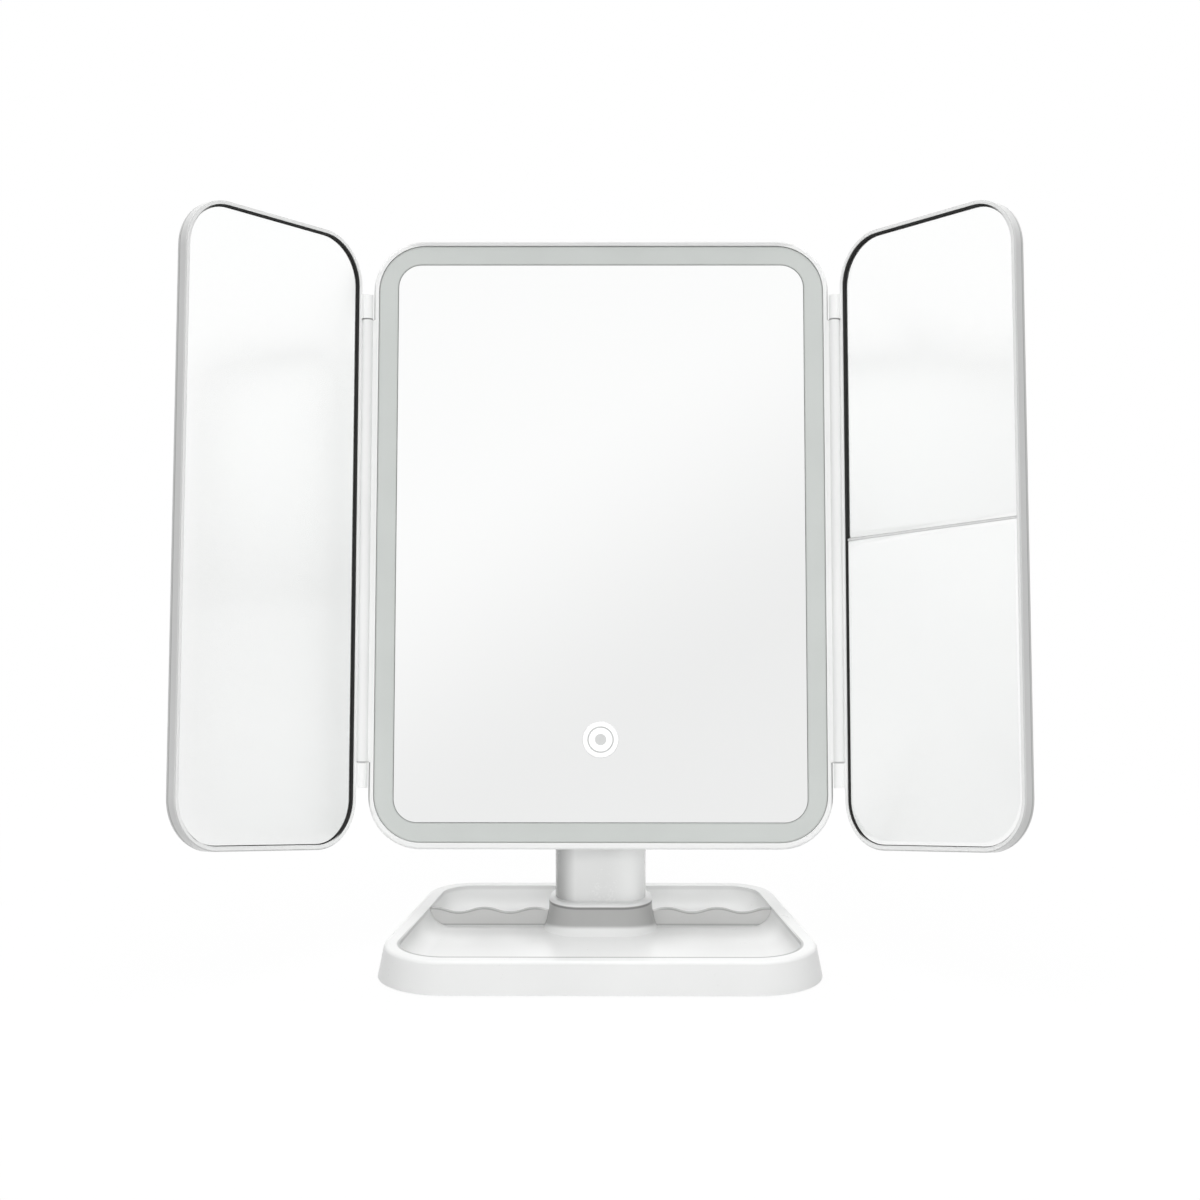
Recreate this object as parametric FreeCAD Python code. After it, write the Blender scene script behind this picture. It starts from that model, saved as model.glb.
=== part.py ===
import FreeCAD, Part
import math
import os
from FreeCAD import Vector

# Trifold vanity mirror. Millimetres, +Z up, front faces -Y.
# The origin is the middle of the face that rests on the table.

# ---------------------------------------------------------------- driving sizes
# base tray
BASE_DEPTH = 117.0
BASE_FRONT_WIDTH = 181.0      # along the front, before the corners are rounded
BASE_BACK_WIDTH = 144.0
BASE_HEIGHT = 13.0
BASE_LEAN = 2.6               # how far the outer wall leans in up to the rim
BASE_CORNERS = (27.0, 27.0, 22.0, 22.0)   # two in front, two at the back
LEAST_CORNER = 1.0
BASE_WALL = 2.4
BASE_LIFT = 0.5               # the shell's lower edge clears the table
RIM_WIDTH = 5.8
RIM_ROUND = 1.6
TRAY_FLOOR = 4.8
TRAY_SKIN = 1.2
DIVIDER_THICK = 2.0
WAVE_MIDDLE = 11.4
WAVE_HEIGHT = 0.95
WAVE_LENGTH = 20.8
WAVE_CREST = 27.0
WAVE_ARCS = 5                 # on each side of the pedestal, crest first
RIM_CHANNEL = 3.0             # width of the hollow inside the rim
RIM_SKIN = 2.0
PAD_THICK = 0.9
PAD_INSET = 5.0
PLATE_THICK = 1.4
PLATE_GAP = 0.5               # allows for the wall's lean
BALLAST_THICK = 1.6
BALLAST_SIDE = 12.0           # inside the back corners, on each side
BALLAST_GAP = 1.5             # from the screw bosses
BASE_SCREW_INSET = 12.0
BASE_SCREW_SIDES = (62.0, 48.0)   # front pair, back pair
BASE_BOSS = 3.0
BASE_PILOT_TOP = 5.0
BASE_SCREW_SEAT = 0.6         # plate left under a screw's head

# pedestal and neck
NECK_Y = 19.0
PEDESTAL_SIZE = (42.0, 29.0)
PEDESTAL_CORNER = 13.0
PEDESTAL_TOP = 17.8
PEDESTAL_FLARE = 3.2
PEDESTAL_ROUND = 1.2
PEDESTAL_SINK = 0.4           # how far its foot reaches into the tray's floor
NECK_SIZE = (36.8, 20.4)
NECK_CORNER = 9.5
NECK_WALL = 2.0
PIVOT_HEIGHT = 57.8
SPINE_SIZE = (31.0, 15.0)
SPINE_CORNER = 6.7
SOCKET_FLOOR = 5.2
NECK_SCREW_HEIGHTS = (27.0, 42.0)

# tilt hinge
TILT_BOLT_RADIUS = 2.5
TILT_PLAY = 0.05              # radial, bolt in the spine's bore
EAR_THICK = 8.6
EAR_RADIUS = 9.5
EAR_GAP = 1.0
EAR_POCKET_RADIUS = 5.3
EAR_POCKET_DEPTH = 5.0
EAR_CAP_THICK = 1.1
EAR_CAP_ROUND = 0.4
BOLT_HEAD = (4.2, 2.4)        # radius, height
BOLT_SLOT = (1.0, 0.9)        # width, depth
TILT_NUT = (8.0, 3.2)         # across the flats, height
SPRING_WASHER_THICK = 0.5
FRICTION_WASHER = (7.0, 0.9)  # radius, thickness

# centre panel
HEAD_WIDTH = 185.0
HEAD_HEIGHT = 247.0
HEAD_CORNER = 21.0
HEAD_TILT = 13.3              # degrees, leaning back at rest
HEAD_RIM = 2.0
HEAD_RIM_BOTTOM = 2.6
HEAD_FRONT_ROUND = 0.9
HEAD_SPLIT = 7.2              # depth where the frame meets the rear shell
HEAD_FLOOR = 1.4
HEAD_DEPTH = 12.5
HEAD_WALL = 1.8
HEAD_BACK_ROUND = 3.5
PIVOT_DEPTH = 20.4            # tilt axis behind the front of the rim
PIVOT_RISE = 20.0             # tilt axis above the panel's lower edge
NOTCH_FLOOR = 8.6
NOTCH_HEIGHT = 31.0
NOTCH_WALL = 1.3
LIGHT_BAND = 7.9
BAND_CORNER = 9.5
GLASS_SINK = 0.4
DIFFUSER_THICK = 2.4
GLASS_THICK = 1.8
TAPE_THICK = 0.5
TAPE_INSET = 6.0
LEDGE = 0.8
CHANNEL_WALL = 1.2            # wall between the light channel and the mirror
LED_BOARD_THICK = 0.6
LED_SIZE = (3.5, 2.8, 0.7)
LEDS_ACROSS = 15
LEDS_UP = 21
RIB_THICK = 1.2
RIB_COUNT = 4
RIB_PITCH = 48.0
RIB_END = 29.0                # top rib below the panel's upper edge
RIB_SIDES = (28.0, 58.0)
KEY_HEIGHT = 43.5
KEY_RADIUS = 7.3
KEY_THICK = 0.3
KEY_RING = 2.0
KEY_DOT = 2.2
KEY_WELL = 8.0
SPRING_HOLE = 4.8
TOUCH_SPRING_RADIUS = 3.0
TOUCH_SPRING_WIRE = 0.5       # side of its square section
TOUCH_SPRING_TURNS = 4
HEAD_SCREW_INSET = 14.5       # from the panel's sides
HEAD_SCREW_END = 30.0         # from its lower and upper edge

# battery pod, board and inlet
POD_HALF = 58.0
POD_LOW = 36.0
POD_HIGH = 152.0
POD_CORNER = 12.0
POD_DEPTH = 21.4
POD_ROUND = 3.0
CELL_RADIUS = 5.25
CELL_LENGTH = 44.5
CELL_PITCH = 10.9
CELL_COUNT = 4
CELL_NUB = (1.9, 1.0)
CONTACT_THICK = 0.4
CONTACT_SPRING = 1.8
CONTACT_INSET = 1.0           # how much narrower a contact is than its cell
SPRING_RINGS = 3
SPRING_RADIUS = 3.6
SPRING_TAPER = 0.7
SPRING_RING = 1.1
TRAY_LOW = 80.0
TRAY_WALL = 1.2
TRAY_CORNER = 1.5
TRAY_SIDE = 0.3               # room beside the outer cells
TRAY_FOOT = 2.5
TRAY_FOOT_INSET = 5.0
DOOR_SIZE = (53.0, 60.0)
DOOR_CORNER = 3.0
DOOR_THICK = 1.6
DOOR_STEP = 0.8
DOOR_LEDGE = 2.2
DOOR_PLUG_CORNER = 1.8
DOOR_PLAY = 0.3
DOOR_RIDGES = 4
DOOR_RIDGE = (16.0, 1.0, 0.5) # length, width, height
DOOR_RIDGE_PITCH = 2.4
DOOR_RIDGE_INSET = 8.0
RIDGE_ROUND = 0.4             # of a ridge's width
BOARD_BOX = (-30.0, 30.0, 39.5, 63.5)
BOARD_THICK = 1.2
BOARD_STANDOFF = 1.2
BOARD_CORNER = 1.0
POST_INSET = 3.0
POST_RADIUS = 2.0
STAKE_RADIUS = 0.9
STAKE_RISE = 0.6
CHIP = (8.0, 5.0, 1.6)        # across, up, thick
REGULATOR = (4.0, 4.0, 1.2)
COIL = (6.0, 6.0, 3.0)
PLUG_BODY = (8.0, 5.0, 4.0)
BATTERY_PLUG = (10.0, 4.5, 4.0)
CAPACITOR = (3.2, 5.5)        # radius, height
REGULATOR_X = 11.0
COIL_X = -22.0
CAPACITOR_X = -14.0
INLET_PLUG_X = 22.0
INLET_PLUG_RISE = 8.5         # above the board's lower edge
BATTERY_PLUG_X = 1.0
USB_BODY = (7.4, 9.0, 3.2)    # length, width, height
USB_CORNER = 1.28
USB_SHEET = 0.4
USB_BACK = 1.2
USB_SINK = 0.2
USB_TONGUE = (6.0, 0.7)       # width, thickness
USB_TONGUE_SINK = 1.4
USB_DEPTH = 15.95             # behind the front of the rim
USB_RISE = 58.0
USB_BOARD = (12.0, 14.0, 1.0)
USB_POST_INSET = 2.0
USB_POST_RADIUS = 1.2
USB_BOARD_CORNER = 0.5

# leads
LEAD_RADIUS = 0.55
LEAD_BEND = 1.5
LEAD_HOLE = 1.6
LEAD_SIDE = 34.0
LEAD_RISE = 2.6               # behind the board's back face
LEAD_PITCH = 2.4
LEAD_BATTERY_PITCH = 5.0
LEAD_ENTRY = 5.8              # behind the battery tray's floor
LEAD_STEP = 6.0
LEAD_LANDING = 5.0            # above the board's lower edge

# wing panels
WING_WIDTH = 90.0
WING_CORNER = 20.0
WING_OPEN = 50.0              # degrees, swung forward at rest
WING_SPLIT = 3.9
WING_DEPTH = 5.9
WING_BACK_ROUND = 1.4
WING_RIM = 1.5
WING_FRONT_ROUND = 0.6
GASKET_WIDTH = 0.5
GASKET_SINK = 0.4
WING_GLASS_SINK = 1.4
WING_GLASS_THICK = 1.6
WING_TAPE_THICK = 0.4
WING_TAPE_INSET = 6.0
WING_PAD_RADIUS = 6.0
WING_PAD_SIDE = 26.0          # from the middle of its glass
WING_PAD_RISE = 42.0
MAGNIFIER_CURVE = 1500.0
MAGNIFIER_THICK = 1.2
MAGNIFIER_SQUARE = 0.6        # corner radius along the split
MAGNIFIER_POCKET = 4.75       # depth of the hollow behind the concave glass
MAGNIFIER_SEAT = 1.5
MAGNIFIER_POCKET_CORNER = 16.5
SPLIT_BAR = 0.8
SPLIT_BAR_SINK = 1.2

# side hinges
HINGE_OUT = 2.5               # hinge axis outside the centre panel's side
HINGE_AHEAD = 0.3             # hinge axis ahead of the front planes
HINGE_RADIUS = 2.2
HINGE_LEAF = 4.0
KNUCKLE_LEAF = 3.5
BARREL_LOW = 34.5
BARREL_END = 33.0             # below the panels' upper edge
KNUCKLE_LENGTH = 10.0
KNUCKLE_PLAY = 0.2
PIN_RADIUS = 1.0
PIN_PLAY = 0.05
PIN_REACH = 10.0
PIN_COVER = 1.0               # blind end of a knuckle's bore
PIN_END_PLAY = 0.5

# fasteners
SCREW_RADIUS = 1.25
SCREW_POINT = 1.1             # length of the tapered tip
SCREW_POINT_RADIUS = 0.25
SCREW_HEAD = (2.3, 1.2)       # radius, height
SCREW_HEAD_ROUND = 0.5
SCREW_SLOT = (2.8, 0.6, 0.7)  # length, width, depth of the cross recess
SCREW_LENGTH = 5.0
BOSS_WALL = 1.75              # plastic round a screw's shank
BOSS_SKIN = 1.0               # plastic round a screw's head

# clearances
FIT = 0.1                     # gap round a piece that drops into another
SLIP = 0.3                    # gap round a piece that is pulled out or moves
LAP = 0.2                     # how deep fused features run into each other
PAST = 1.0                    # how far a cutting tool runs past a face
FLAT = 0.01                   # how nearly an edge has to lie in a plane to be of it

# ---------------------------------------------------------------- sizes that follow
X_AXIS = Vector(1, 0, 0)
Y_AXIS = Vector(0, 1, 0)
Z_AXIS = Vector(0, 0, 1)
RIM_INSET = BASE_LEAN + RIM_WIDTH
COVE = BASE_HEIGHT - TRAY_FLOOR
COVE_ROUND = COVE - 0.05
SHELL_ROOF = TRAY_FLOOR - TRAY_SKIN
PLATE_LOW = BASE_LIFT
PLATE_TOP = PLATE_LOW + PLATE_THICK
PLATE_INSET = BASE_WALL + PLATE_GAP
NECK_TOP_RADIUS = NECK_SIZE[1] / 2
EAR_INNER = NECK_SIZE[0] / 2 + EAR_GAP
EAR_OUTER = EAR_INNER + EAR_THICK
HEAD_BOX = (-HEAD_WIDTH / 2, HEAD_WIDTH / 2, 0.0, HEAD_HEIGHT)
OPENING = (-HEAD_WIDTH / 2 + HEAD_RIM, HEAD_WIDTH / 2 - HEAD_RIM, HEAD_RIM_BOTTOM, HEAD_HEIGHT - HEAD_RIM)
OPENING_CORNER = HEAD_CORNER - HEAD_RIM
LED_DECK = HEAD_SPLIT - HEAD_FLOOR
DIFFUSER_BACK = GLASS_SINK + DIFFUSER_THICK
GLASS_BACK = GLASS_SINK + GLASS_THICK
TAPE_BACK = GLASS_BACK + TAPE_THICK
BOARD_FRONT = HEAD_SPLIT + BOARD_STANDOFF
BACK_SKIN = HEAD_DEPTH - HEAD_WALL
POD_BOX = (-POD_HALF, POD_HALF, POD_LOW, POD_HIGH)
POD_SKIN = POD_DEPTH - DOOR_THICK
CELL_FLOOR = POD_SKIN - FIT - 2 * CELL_RADIUS
BOSS_RADIUS = SCREW_RADIUS + BOSS_WALL
BOSS_BACK = BOARD_FRONT + LAP
CELL_DEPTH = CELL_FLOOR + CELL_RADIUS
TRAY_HALF = CELL_COUNT * CELL_PITCH / 2 + TRAY_SIDE
TRAY_LENGTH = 2 * CONTACT_THICK + CONTACT_SPRING + CELL_LENGTH + FIT
TRAY_MIDDLE = TRAY_LOW + TRAY_WALL + TRAY_LENGTH / 2
USB_BOARD_END = POD_HALF - HEAD_WALL - FIT
WING_BOX = (0.0, WING_WIDTH, 0.0, HEAD_HEIGHT)
GLASS_MARGIN = WING_RIM + GASKET_WIDTH + FIT
GLASS_CORNER = WING_CORNER - GLASS_MARGIN
WING_GLASS_BACK = WING_GLASS_SINK + WING_GLASS_THICK
HINGE_GAP = HINGE_RADIUS + SLIP
HINGE_X = HEAD_WIDTH / 2 + HINGE_OUT
BARREL_HIGH = HEAD_HEIGHT - BARREL_END


# ---------------------------------------------------------------- shape helpers
def shrink(box, margin):
    """A box (left, right, low, high) drawn in by a margin on every side."""
    return (box[0] + margin, box[1] - margin, box[2] + margin, box[3] - margin)


WINDOW = shrink(OPENING, LIGHT_BAND)
LEAD_HEIGHT = (OPENING[2] + WINDOW[2]) / 2
GLASS_BOX = shrink(WING_BOX, GLASS_MARGIN)


def rounded_wire(corners, radii):
    """A closed flat outline through the corners, each rounded by its own radius."""
    edges = []
    count = len(corners)
    starts, middles, ends = [], [], []
    for index, corner in enumerate(corners):
        to_last = (corners[index - 1] - corner).normalize()
        to_next = (corners[(index + 1) % count] - corner).normalize()
        half = to_last.getAngle(to_next) / 2
        inward = (to_last + to_next).normalize()
        reach = radii[index] / math.tan(half)
        starts.append(corner + to_last * reach)
        ends.append(corner + to_next * reach)
        middles.append(corner + inward * (radii[index] / math.sin(half) - radii[index]))
    for index in range(count):
        edges.append(Part.Arc(starts[index], middles[index], ends[index]).toShape())
        edges.append(Part.LineSegment(ends[index], starts[(index + 1) % count]).toShape())
    return Part.Wire(edges)


def slab(box, corner, front, back):
    """A plate that faces the front: its outline is `box`, its thickness runs from front to back."""
    left, right, low, high = box
    radii = corner if isinstance(corner, (list, tuple)) else [corner] * 4
    corners = [Vector(left, front, low), Vector(right, front, low)]
    corners += [Vector(right, front, high), Vector(left, front, high)]
    return Part.Face(rounded_wire(corners, radii)).extrude(Vector(0, back - front, 0))


def ring(outer, outer_corner, inner, inner_corner, front, back):
    """A frame-shaped plate between two outlines."""
    return slab(outer, outer_corner, front, back).cut(slab(inner, inner_corner, front - PAST, back + PAST))


def oval(size, corner, middle_y, height):
    """A flat rounded rectangle at one height."""
    half_x, half_y = size[0] / 2, size[1] / 2
    corners = [Vector(-half_x, middle_y - half_y, height), Vector(half_x, middle_y - half_y, height)]
    corners += [Vector(half_x, middle_y + half_y, height), Vector(-half_x, middle_y + half_y, height)]
    return rounded_wire(corners, [corner] * 4)


def column(size, corner, middle_y, low, high):
    return Part.Face(oval(size, corner, middle_y, low)).extrude(Vector(0, 0, high - low))


def block(x0, x1, y0, y1, z0, z1):
    return Part.makeBox(x1 - x0, y1 - y0, z1 - z0, Vector(x0, y0, z0))


def rod(radius, start, end):
    along = end - start
    return Part.makeCylinder(radius, along.Length, start, along)


def along_y(radius, x, height, front, back):
    """A rod that runs from front to back."""
    return rod(radius, Vector(x, front, height), Vector(x, back, height))


def tube(outer, inner, start, end):
    return rod(outer, start, end).cut(rod(inner, start, end))


def both_sides(shape):
    """The shape and its mirror image across the middle plane."""
    return [shape, shape.mirror(Vector(0, 0, 0), X_AXIS)]


def round_flat_edges(shape, axis, level, radius):
    """Round every edge that lies in the plane where the coordinate `axis` is `level`."""
    chosen = []
    for edge in shape.Edges:
        box = edge.BoundBox
        low = (box.XMin, box.YMin, box.ZMin)[axis]
        high = (box.XMax, box.YMax, box.ZMax)[axis]
        if abs(low - level) < FLAT and abs(high - level) < FLAT:
            chosen.append(edge)
    return shape.makeFillet(radius, chosen)


def screw(tip_point, direction, length):
    """A pan-head screw with a cross recess: the underside of its head is `length` from the tip."""
    head_radius, head_height = SCREW_HEAD
    slot_length, slot_width, slot_depth = SCREW_SLOT
    shank = rod(SCREW_RADIUS, Vector(0, 0, SCREW_POINT), Vector(0, 0, length))
    tip = Part.makeCone(SCREW_POINT_RADIUS, SCREW_RADIUS, SCREW_POINT)
    top = length + head_height
    head = rod(head_radius, Vector(0, 0, length), Vector(0, 0, top))
    head = round_flat_edges(head, 2, top, SCREW_HEAD_ROUND)
    body = head.fuse([shank, tip])
    half_length, half_width = slot_length / 2, slot_width / 2
    body = body.cut(block(-half_length, half_length, -half_width, half_width, top - slot_depth, top + PAST))
    body = body.cut(block(-half_width, half_width, -half_length, half_length, top - slot_depth, top + PAST))
    body.Placement = FreeCAD.Placement(tip_point, FreeCAD.Rotation(Z_AXIS, direction))
    return body


# ---------------------------------------------------------------- placing
def place_head(shape):
    """From the upright centre panel (X across, Y depth behind its front, Z up) to the tilted one."""
    placed = shape.copy()
    placed.translate(Vector(0, -PIVOT_DEPTH, -PIVOT_RISE))
    placed.rotate(Vector(0, 0, 0), X_AXIS, -HEAD_TILT)
    placed.translate(Vector(0, NECK_Y, PIVOT_HEIGHT))
    return placed


def place_wing(shape, side):
    """From a flat wing (X from its hinge side out) to the swung one on the tilted panel."""
    placed = shape.copy()
    placed.translate(Vector(HINGE_GAP, HINGE_AHEAD, 0))
    placed.rotate(Vector(0, 0, 0), Z_AXIS, -WING_OPEN)
    placed.translate(Vector(HINGE_X, -HINGE_AHEAD, 0))
    if side < 0:
        placed = placed.mirror(Vector(0, 0, 0), X_AXIS)
    return place_head(placed)


def save(name, shape):
    """Write one named piece, as one solid or a group of separate solids."""
    solids = shape if isinstance(shape, list) else [shape]
    solids = [solid for item in solids for solid in item.Solids]
    whole = solids[0] if len(solids) == 1 else Part.makeCompound(solids)
    whole.exportStep("parts/" + name + ".step")
    print(name, len(solids), round(whole.Volume, 1), whole.isValid())


def save_on_head(name, shape):
    solids = shape if isinstance(shape, list) else [shape]
    save(name, [place_head(solid) for solid in solids])


def save_on_wing(name, shape, side):
    solids = shape if isinstance(shape, list) else [shape]
    save(name, [place_wing(solid, side) for solid in solids])


# ---------------------------------------------------------------- base
def base_outline(inset, height):
    """The tray's outline, drawn in by `inset` from the line where it meets the table."""
    taper = math.atan((BASE_FRONT_WIDTH - BASE_BACK_WIDTH) / 2 / BASE_DEPTH)
    front = -BASE_DEPTH / 2 + inset
    back = BASE_DEPTH / 2 - inset

    def half_width(y):
        return BASE_FRONT_WIDTH / 2 - (y + BASE_DEPTH / 2) * math.tan(taper) - inset / math.cos(taper)

    corners = [Vector(-half_width(front), front, height), Vector(half_width(front), front, height)]
    corners += [Vector(half_width(back), back, height), Vector(-half_width(back), back, height)]
    radii = [max(radius - inset, LEAST_CORNER) for radius in BASE_CORNERS]
    return rounded_wire(corners, radii)


def base_prism(inset, low, high):
    return Part.Face(base_outline(inset, low)).extrude(Vector(0, 0, high - low))


def pedestal_profile():
    """Half the pedestal's section, from a corner's upright axis out: rounded top edge, concave flare."""
    low = TRAY_FLOOR - PEDESTAL_SINK
    waist, shoulder = PEDESTAL_CORNER, PEDESTAL_TOP - PEDESTAL_ROUND
    slant = PEDESTAL_ROUND * math.sqrt(0.5)
    top_edge = Vector(waist - PEDESTAL_ROUND, 0, PEDESTAL_TOP)
    side_edge = Vector(waist, 0, shoulder)
    rounding = Part.Arc(top_edge, Vector(waist - PEDESTAL_ROUND + slant, 0, shoulder + slant), side_edge)
    foot = Vector(waist + PEDESTAL_FLARE, 0, low)
    ellipse = Part.Ellipse(foot, side_edge, Vector(foot.x, 0, shoulder))
    quarter = Part.ArcOfEllipse(ellipse, 0, math.pi / 2)
    edges = [rounding.toShape(), quarter.toShape()]
    edges += Part.makePolygon([foot, Vector(0, 0, low), Vector(0, 0, PEDESTAL_TOP), top_edge]).Edges
    return Part.Face(Part.Wire(Part.__sortEdges__(edges)))


def pedestal():
    """The flared oval foot that the neck plugs into: a core, four sides and four corners."""
    across = PEDESTAL_SIZE[0] / 2 - PEDESTAL_CORNER
    along = PEDESTAL_SIZE[1] / 2 - PEDESTAL_CORNER
    low = TRAY_FLOOR - PEDESTAL_SINK
    pieces = [block(-across, across, -along, along, low, PEDESTAL_TOP)]
    for index, (x, y) in enumerate([(across, along), (-across, along), (-across, -along), (across, -along)]):
        profile = pedestal_profile()
        profile.rotate(Vector(0, 0, 0), Z_AXIS, 90 * index)
        profile.translate(Vector(x, y, 0))
        pieces.append(profile.revolve(Vector(x, y, 0), Z_AXIS, 90))
        run = Vector(0, -2 * along, 0) if index % 2 == 0 else Vector(2 * across, 0, 0)
        pieces.append(profile.extrude(run if index < 2 else run * -1))
    body = pieces[0].fuse(pieces[1:]).removeSplitter()
    body.translate(Vector(0, NECK_Y, 0))
    return body


def divider():
    """The upright wall across the tray, with a wavy top that lipsticks and brushes rest in."""
    quarter = WAVE_LENGTH / 4
    edges = []
    for side in (-1, 1):
        start = WAVE_CREST - quarter
        for index in range(WAVE_ARCS):
            rise = WAVE_HEIGHT if index % 2 == 0 else -WAVE_HEIGHT
            ends = [Vector(side * (start + step * quarter), NECK_Y, WAVE_MIDDLE) for step in range(3)]
            ends[1].z += rise
            edges.append(Part.Arc(ends[0], ends[1], ends[2]).toShape())
            start += 2 * quarter
    far, near = start, WAVE_CREST - quarter
    corners = [Vector(-far, NECK_Y, WAVE_MIDDLE), Vector(-far, NECK_Y, SHELL_ROOF)]
    corners += [Vector(far, NECK_Y, SHELL_ROOF), Vector(far, NECK_Y, WAVE_MIDDLE)]
    edges += Part.makePolygon(corners).Edges
    saddle = Part.LineSegment(Vector(-near, NECK_Y, WAVE_MIDDLE), Vector(near, NECK_Y, WAVE_MIDDLE))
    edges.append(saddle.toShape())
    outline = Part.Wire(Part.__sortEdges__(edges))
    wall = Part.Face(outline).extrude(Vector(0, DIVIDER_THICK, 0))
    wall.translate(Vector(0, -DIVIDER_THICK / 2, 0))
    return wall


def base_screw_places():
    """Two screws along the front and two along the back, under the tray's cove."""
    line = BASE_DEPTH / 2 - BASE_SCREW_INSET
    front_side, back_side = BASE_SCREW_SIDES
    return [(-front_side, -line), (front_side, -line), (-back_side, line), (back_side, line)]


def base_hollow():
    """The space under the tray: a shallow pocket for the ballast and a channel inside the rim."""
    wall = BASE_LEAN + BASE_WALL
    hollow = base_prism(PLATE_INSET - FIT, 0, SHELL_ROOF)
    channel = base_prism(wall, 0, BASE_HEIGHT - RIM_SKIN)
    channel = channel.cut(base_prism(wall + RIM_CHANNEL, -PAST, BASE_HEIGHT))
    hollow = hollow.fuse(channel)
    for x, y in base_screw_places():
        hollow = hollow.cut(rod(BASE_BOSS, Vector(x, y, PLATE_TOP), Vector(x, y, BASE_HEIGHT)))
        hollow = hollow.fuse(rod(SCREW_RADIUS, Vector(x, y, PLATE_LOW), Vector(x, y, BASE_PILOT_TOP)))
    return hollow


def base_shell():
    outer = Part.makeLoft([base_outline(0, BASE_LIFT), base_outline(BASE_LEAN, BASE_HEIGHT)], True, True)
    outer = round_flat_edges(outer, 2, BASE_HEIGHT, RIM_ROUND)
    recess = base_prism(RIM_INSET, TRAY_FLOOR, BASE_HEIGHT + COVE)
    recess = round_flat_edges(recess, 2, TRAY_FLOOR, COVE_ROUND)
    shell = outer.cut(recess)
    shell = shell.fuse(divider().common(base_prism(RIM_INSET - PAST, 0, BASE_HEIGHT)))
    shell = shell.fuse(pedestal())
    shell = shell.cut(base_hollow())
    socket = (SPINE_SIZE[0] + 2 * SLIP, SPINE_SIZE[1] + 2 * SLIP)
    shell = shell.cut(column(socket, SPINE_CORNER + SLIP, NECK_Y, SOCKET_FLOOR, PEDESTAL_TOP + PAST))
    return shell.removeSplitter()


def base_bottom_plate():
    plate = base_prism(PLATE_INSET, PLATE_LOW, PLATE_TOP)
    plate = plate.cut(base_prism(PAD_INSET - FIT, 0, PAD_THICK))
    seat = PLATE_TOP - BASE_SCREW_SEAT
    for x, y in base_screw_places():
        plate = plate.cut(rod(SCREW_RADIUS + FIT, Vector(x, y, 0), Vector(x, y, PLATE_TOP + PAST)))
        plate = plate.cut(rod(SCREW_HEAD[0] + FIT, Vector(x, y, 0), Vector(x, y, seat)))
    return plate


def base_ballast():
    """A steel sheet between the screw bosses that keeps the tray down."""
    half_length = BASE_BACK_WIDTH / 2 - BALLAST_SIDE
    half_width = BASE_DEPTH / 2 - BASE_SCREW_INSET - BASE_BOSS - BALLAST_GAP
    return block(-half_length, half_length, -half_width, half_width, PLATE_TOP, PLATE_TOP + BALLAST_THICK)


def anti_slip_pad():
    """A rubber sheet with a hole over each screw."""
    pad = base_prism(PAD_INSET, 0, PAD_THICK)
    for x, y in base_screw_places():
        pad = pad.cut(rod(BASE_BOSS, Vector(x, y, -PAST), Vector(x, y, PAD_THICK + PAST)))
    return pad


def base_screws():
    """The heads sit sunk in the bottom plate, their tips in the shell's bosses."""
    seat = PLATE_TOP - BASE_SCREW_SEAT
    tip = BASE_PILOT_TOP - FIT
    return [screw(Vector(x, y, tip), -Z_AXIS, tip - seat) for x, y in base_screw_places()]


# ---------------------------------------------------------------- neck
def round_topped(size, corner, low):
    """A column on the neck's middle whose top is rounded about the tilt axis."""
    half_x, half_y = size[0] / 2, size[1] / 2
    body = column(size, corner, NECK_Y, low, PIVOT_HEIGHT + half_y)
    straight = block(-half_x, half_x, NECK_Y - half_y, NECK_Y + half_y, low, PIVOT_HEIGHT)
    crown = rod(half_y, axle_point(-half_x), axle_point(half_x))
    return body.common(straight.fuse(crown))


def axle_point(x):
    return Vector(x, NECK_Y, PIVOT_HEIGHT)


def neck_shells():
    """The front and rear halves of the hollow neck."""
    cavity = (NECK_SIZE[0] - 2 * NECK_WALL, NECK_SIZE[1] - 2 * NECK_WALL)
    shell = round_topped(NECK_SIZE, NECK_CORNER, PEDESTAL_TOP)
    shell = shell.cut(round_topped(cavity, NECK_CORNER - NECK_WALL, PEDESTAL_TOP - PAST))
    across = NECK_SIZE[0]
    shell = shell.cut(rod(TILT_BOLT_RADIUS + SLIP, axle_point(-across), axle_point(across)))
    back = NECK_Y + NECK_SIZE[1] / 2
    seat = back - SCREW_HEAD[1]
    for height in NECK_SCREW_HEIGHTS:
        shell = shell.cut(along_y(SCREW_RADIUS + FIT, 0, height, NECK_Y, back))
        shell = shell.cut(along_y(SCREW_HEAD[0] + FIT, 0, height, seat, back + PAST))
    far = 2 * across
    front_half = shell.common(block(-far, far, NECK_Y - far, NECK_Y, 0, far * 2))
    rear_half = shell.common(block(-far, far, NECK_Y, NECK_Y + far, 0, far * 2))
    return front_half, rear_half


def neck_spine():
    """The core that carries the tilt bolt, with the plug that enters the pedestal."""
    body = round_topped(SPINE_SIZE, SPINE_CORNER, SOCKET_FLOOR + SLIP)
    across = SPINE_SIZE[0]
    body = body.cut(rod(TILT_BOLT_RADIUS + TILT_PLAY, axle_point(-across), axle_point(across)))
    back = NECK_Y + SPINE_SIZE[1] / 2
    for height in NECK_SCREW_HEIGHTS:
        body = body.cut(along_y(SCREW_RADIUS, 0, height, back - SCREW_LENGTH, back + PAST))
    return body.removeSplitter()


def neck_screws():
    under_head = NECK_Y + NECK_SIZE[1] / 2 - SCREW_HEAD[1]
    tips = [Vector(0, under_head - SCREW_LENGTH, height) for height in NECK_SCREW_HEIGHTS]
    return [screw(tip, Y_AXIS, SCREW_LENGTH) for tip in tips]


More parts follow.
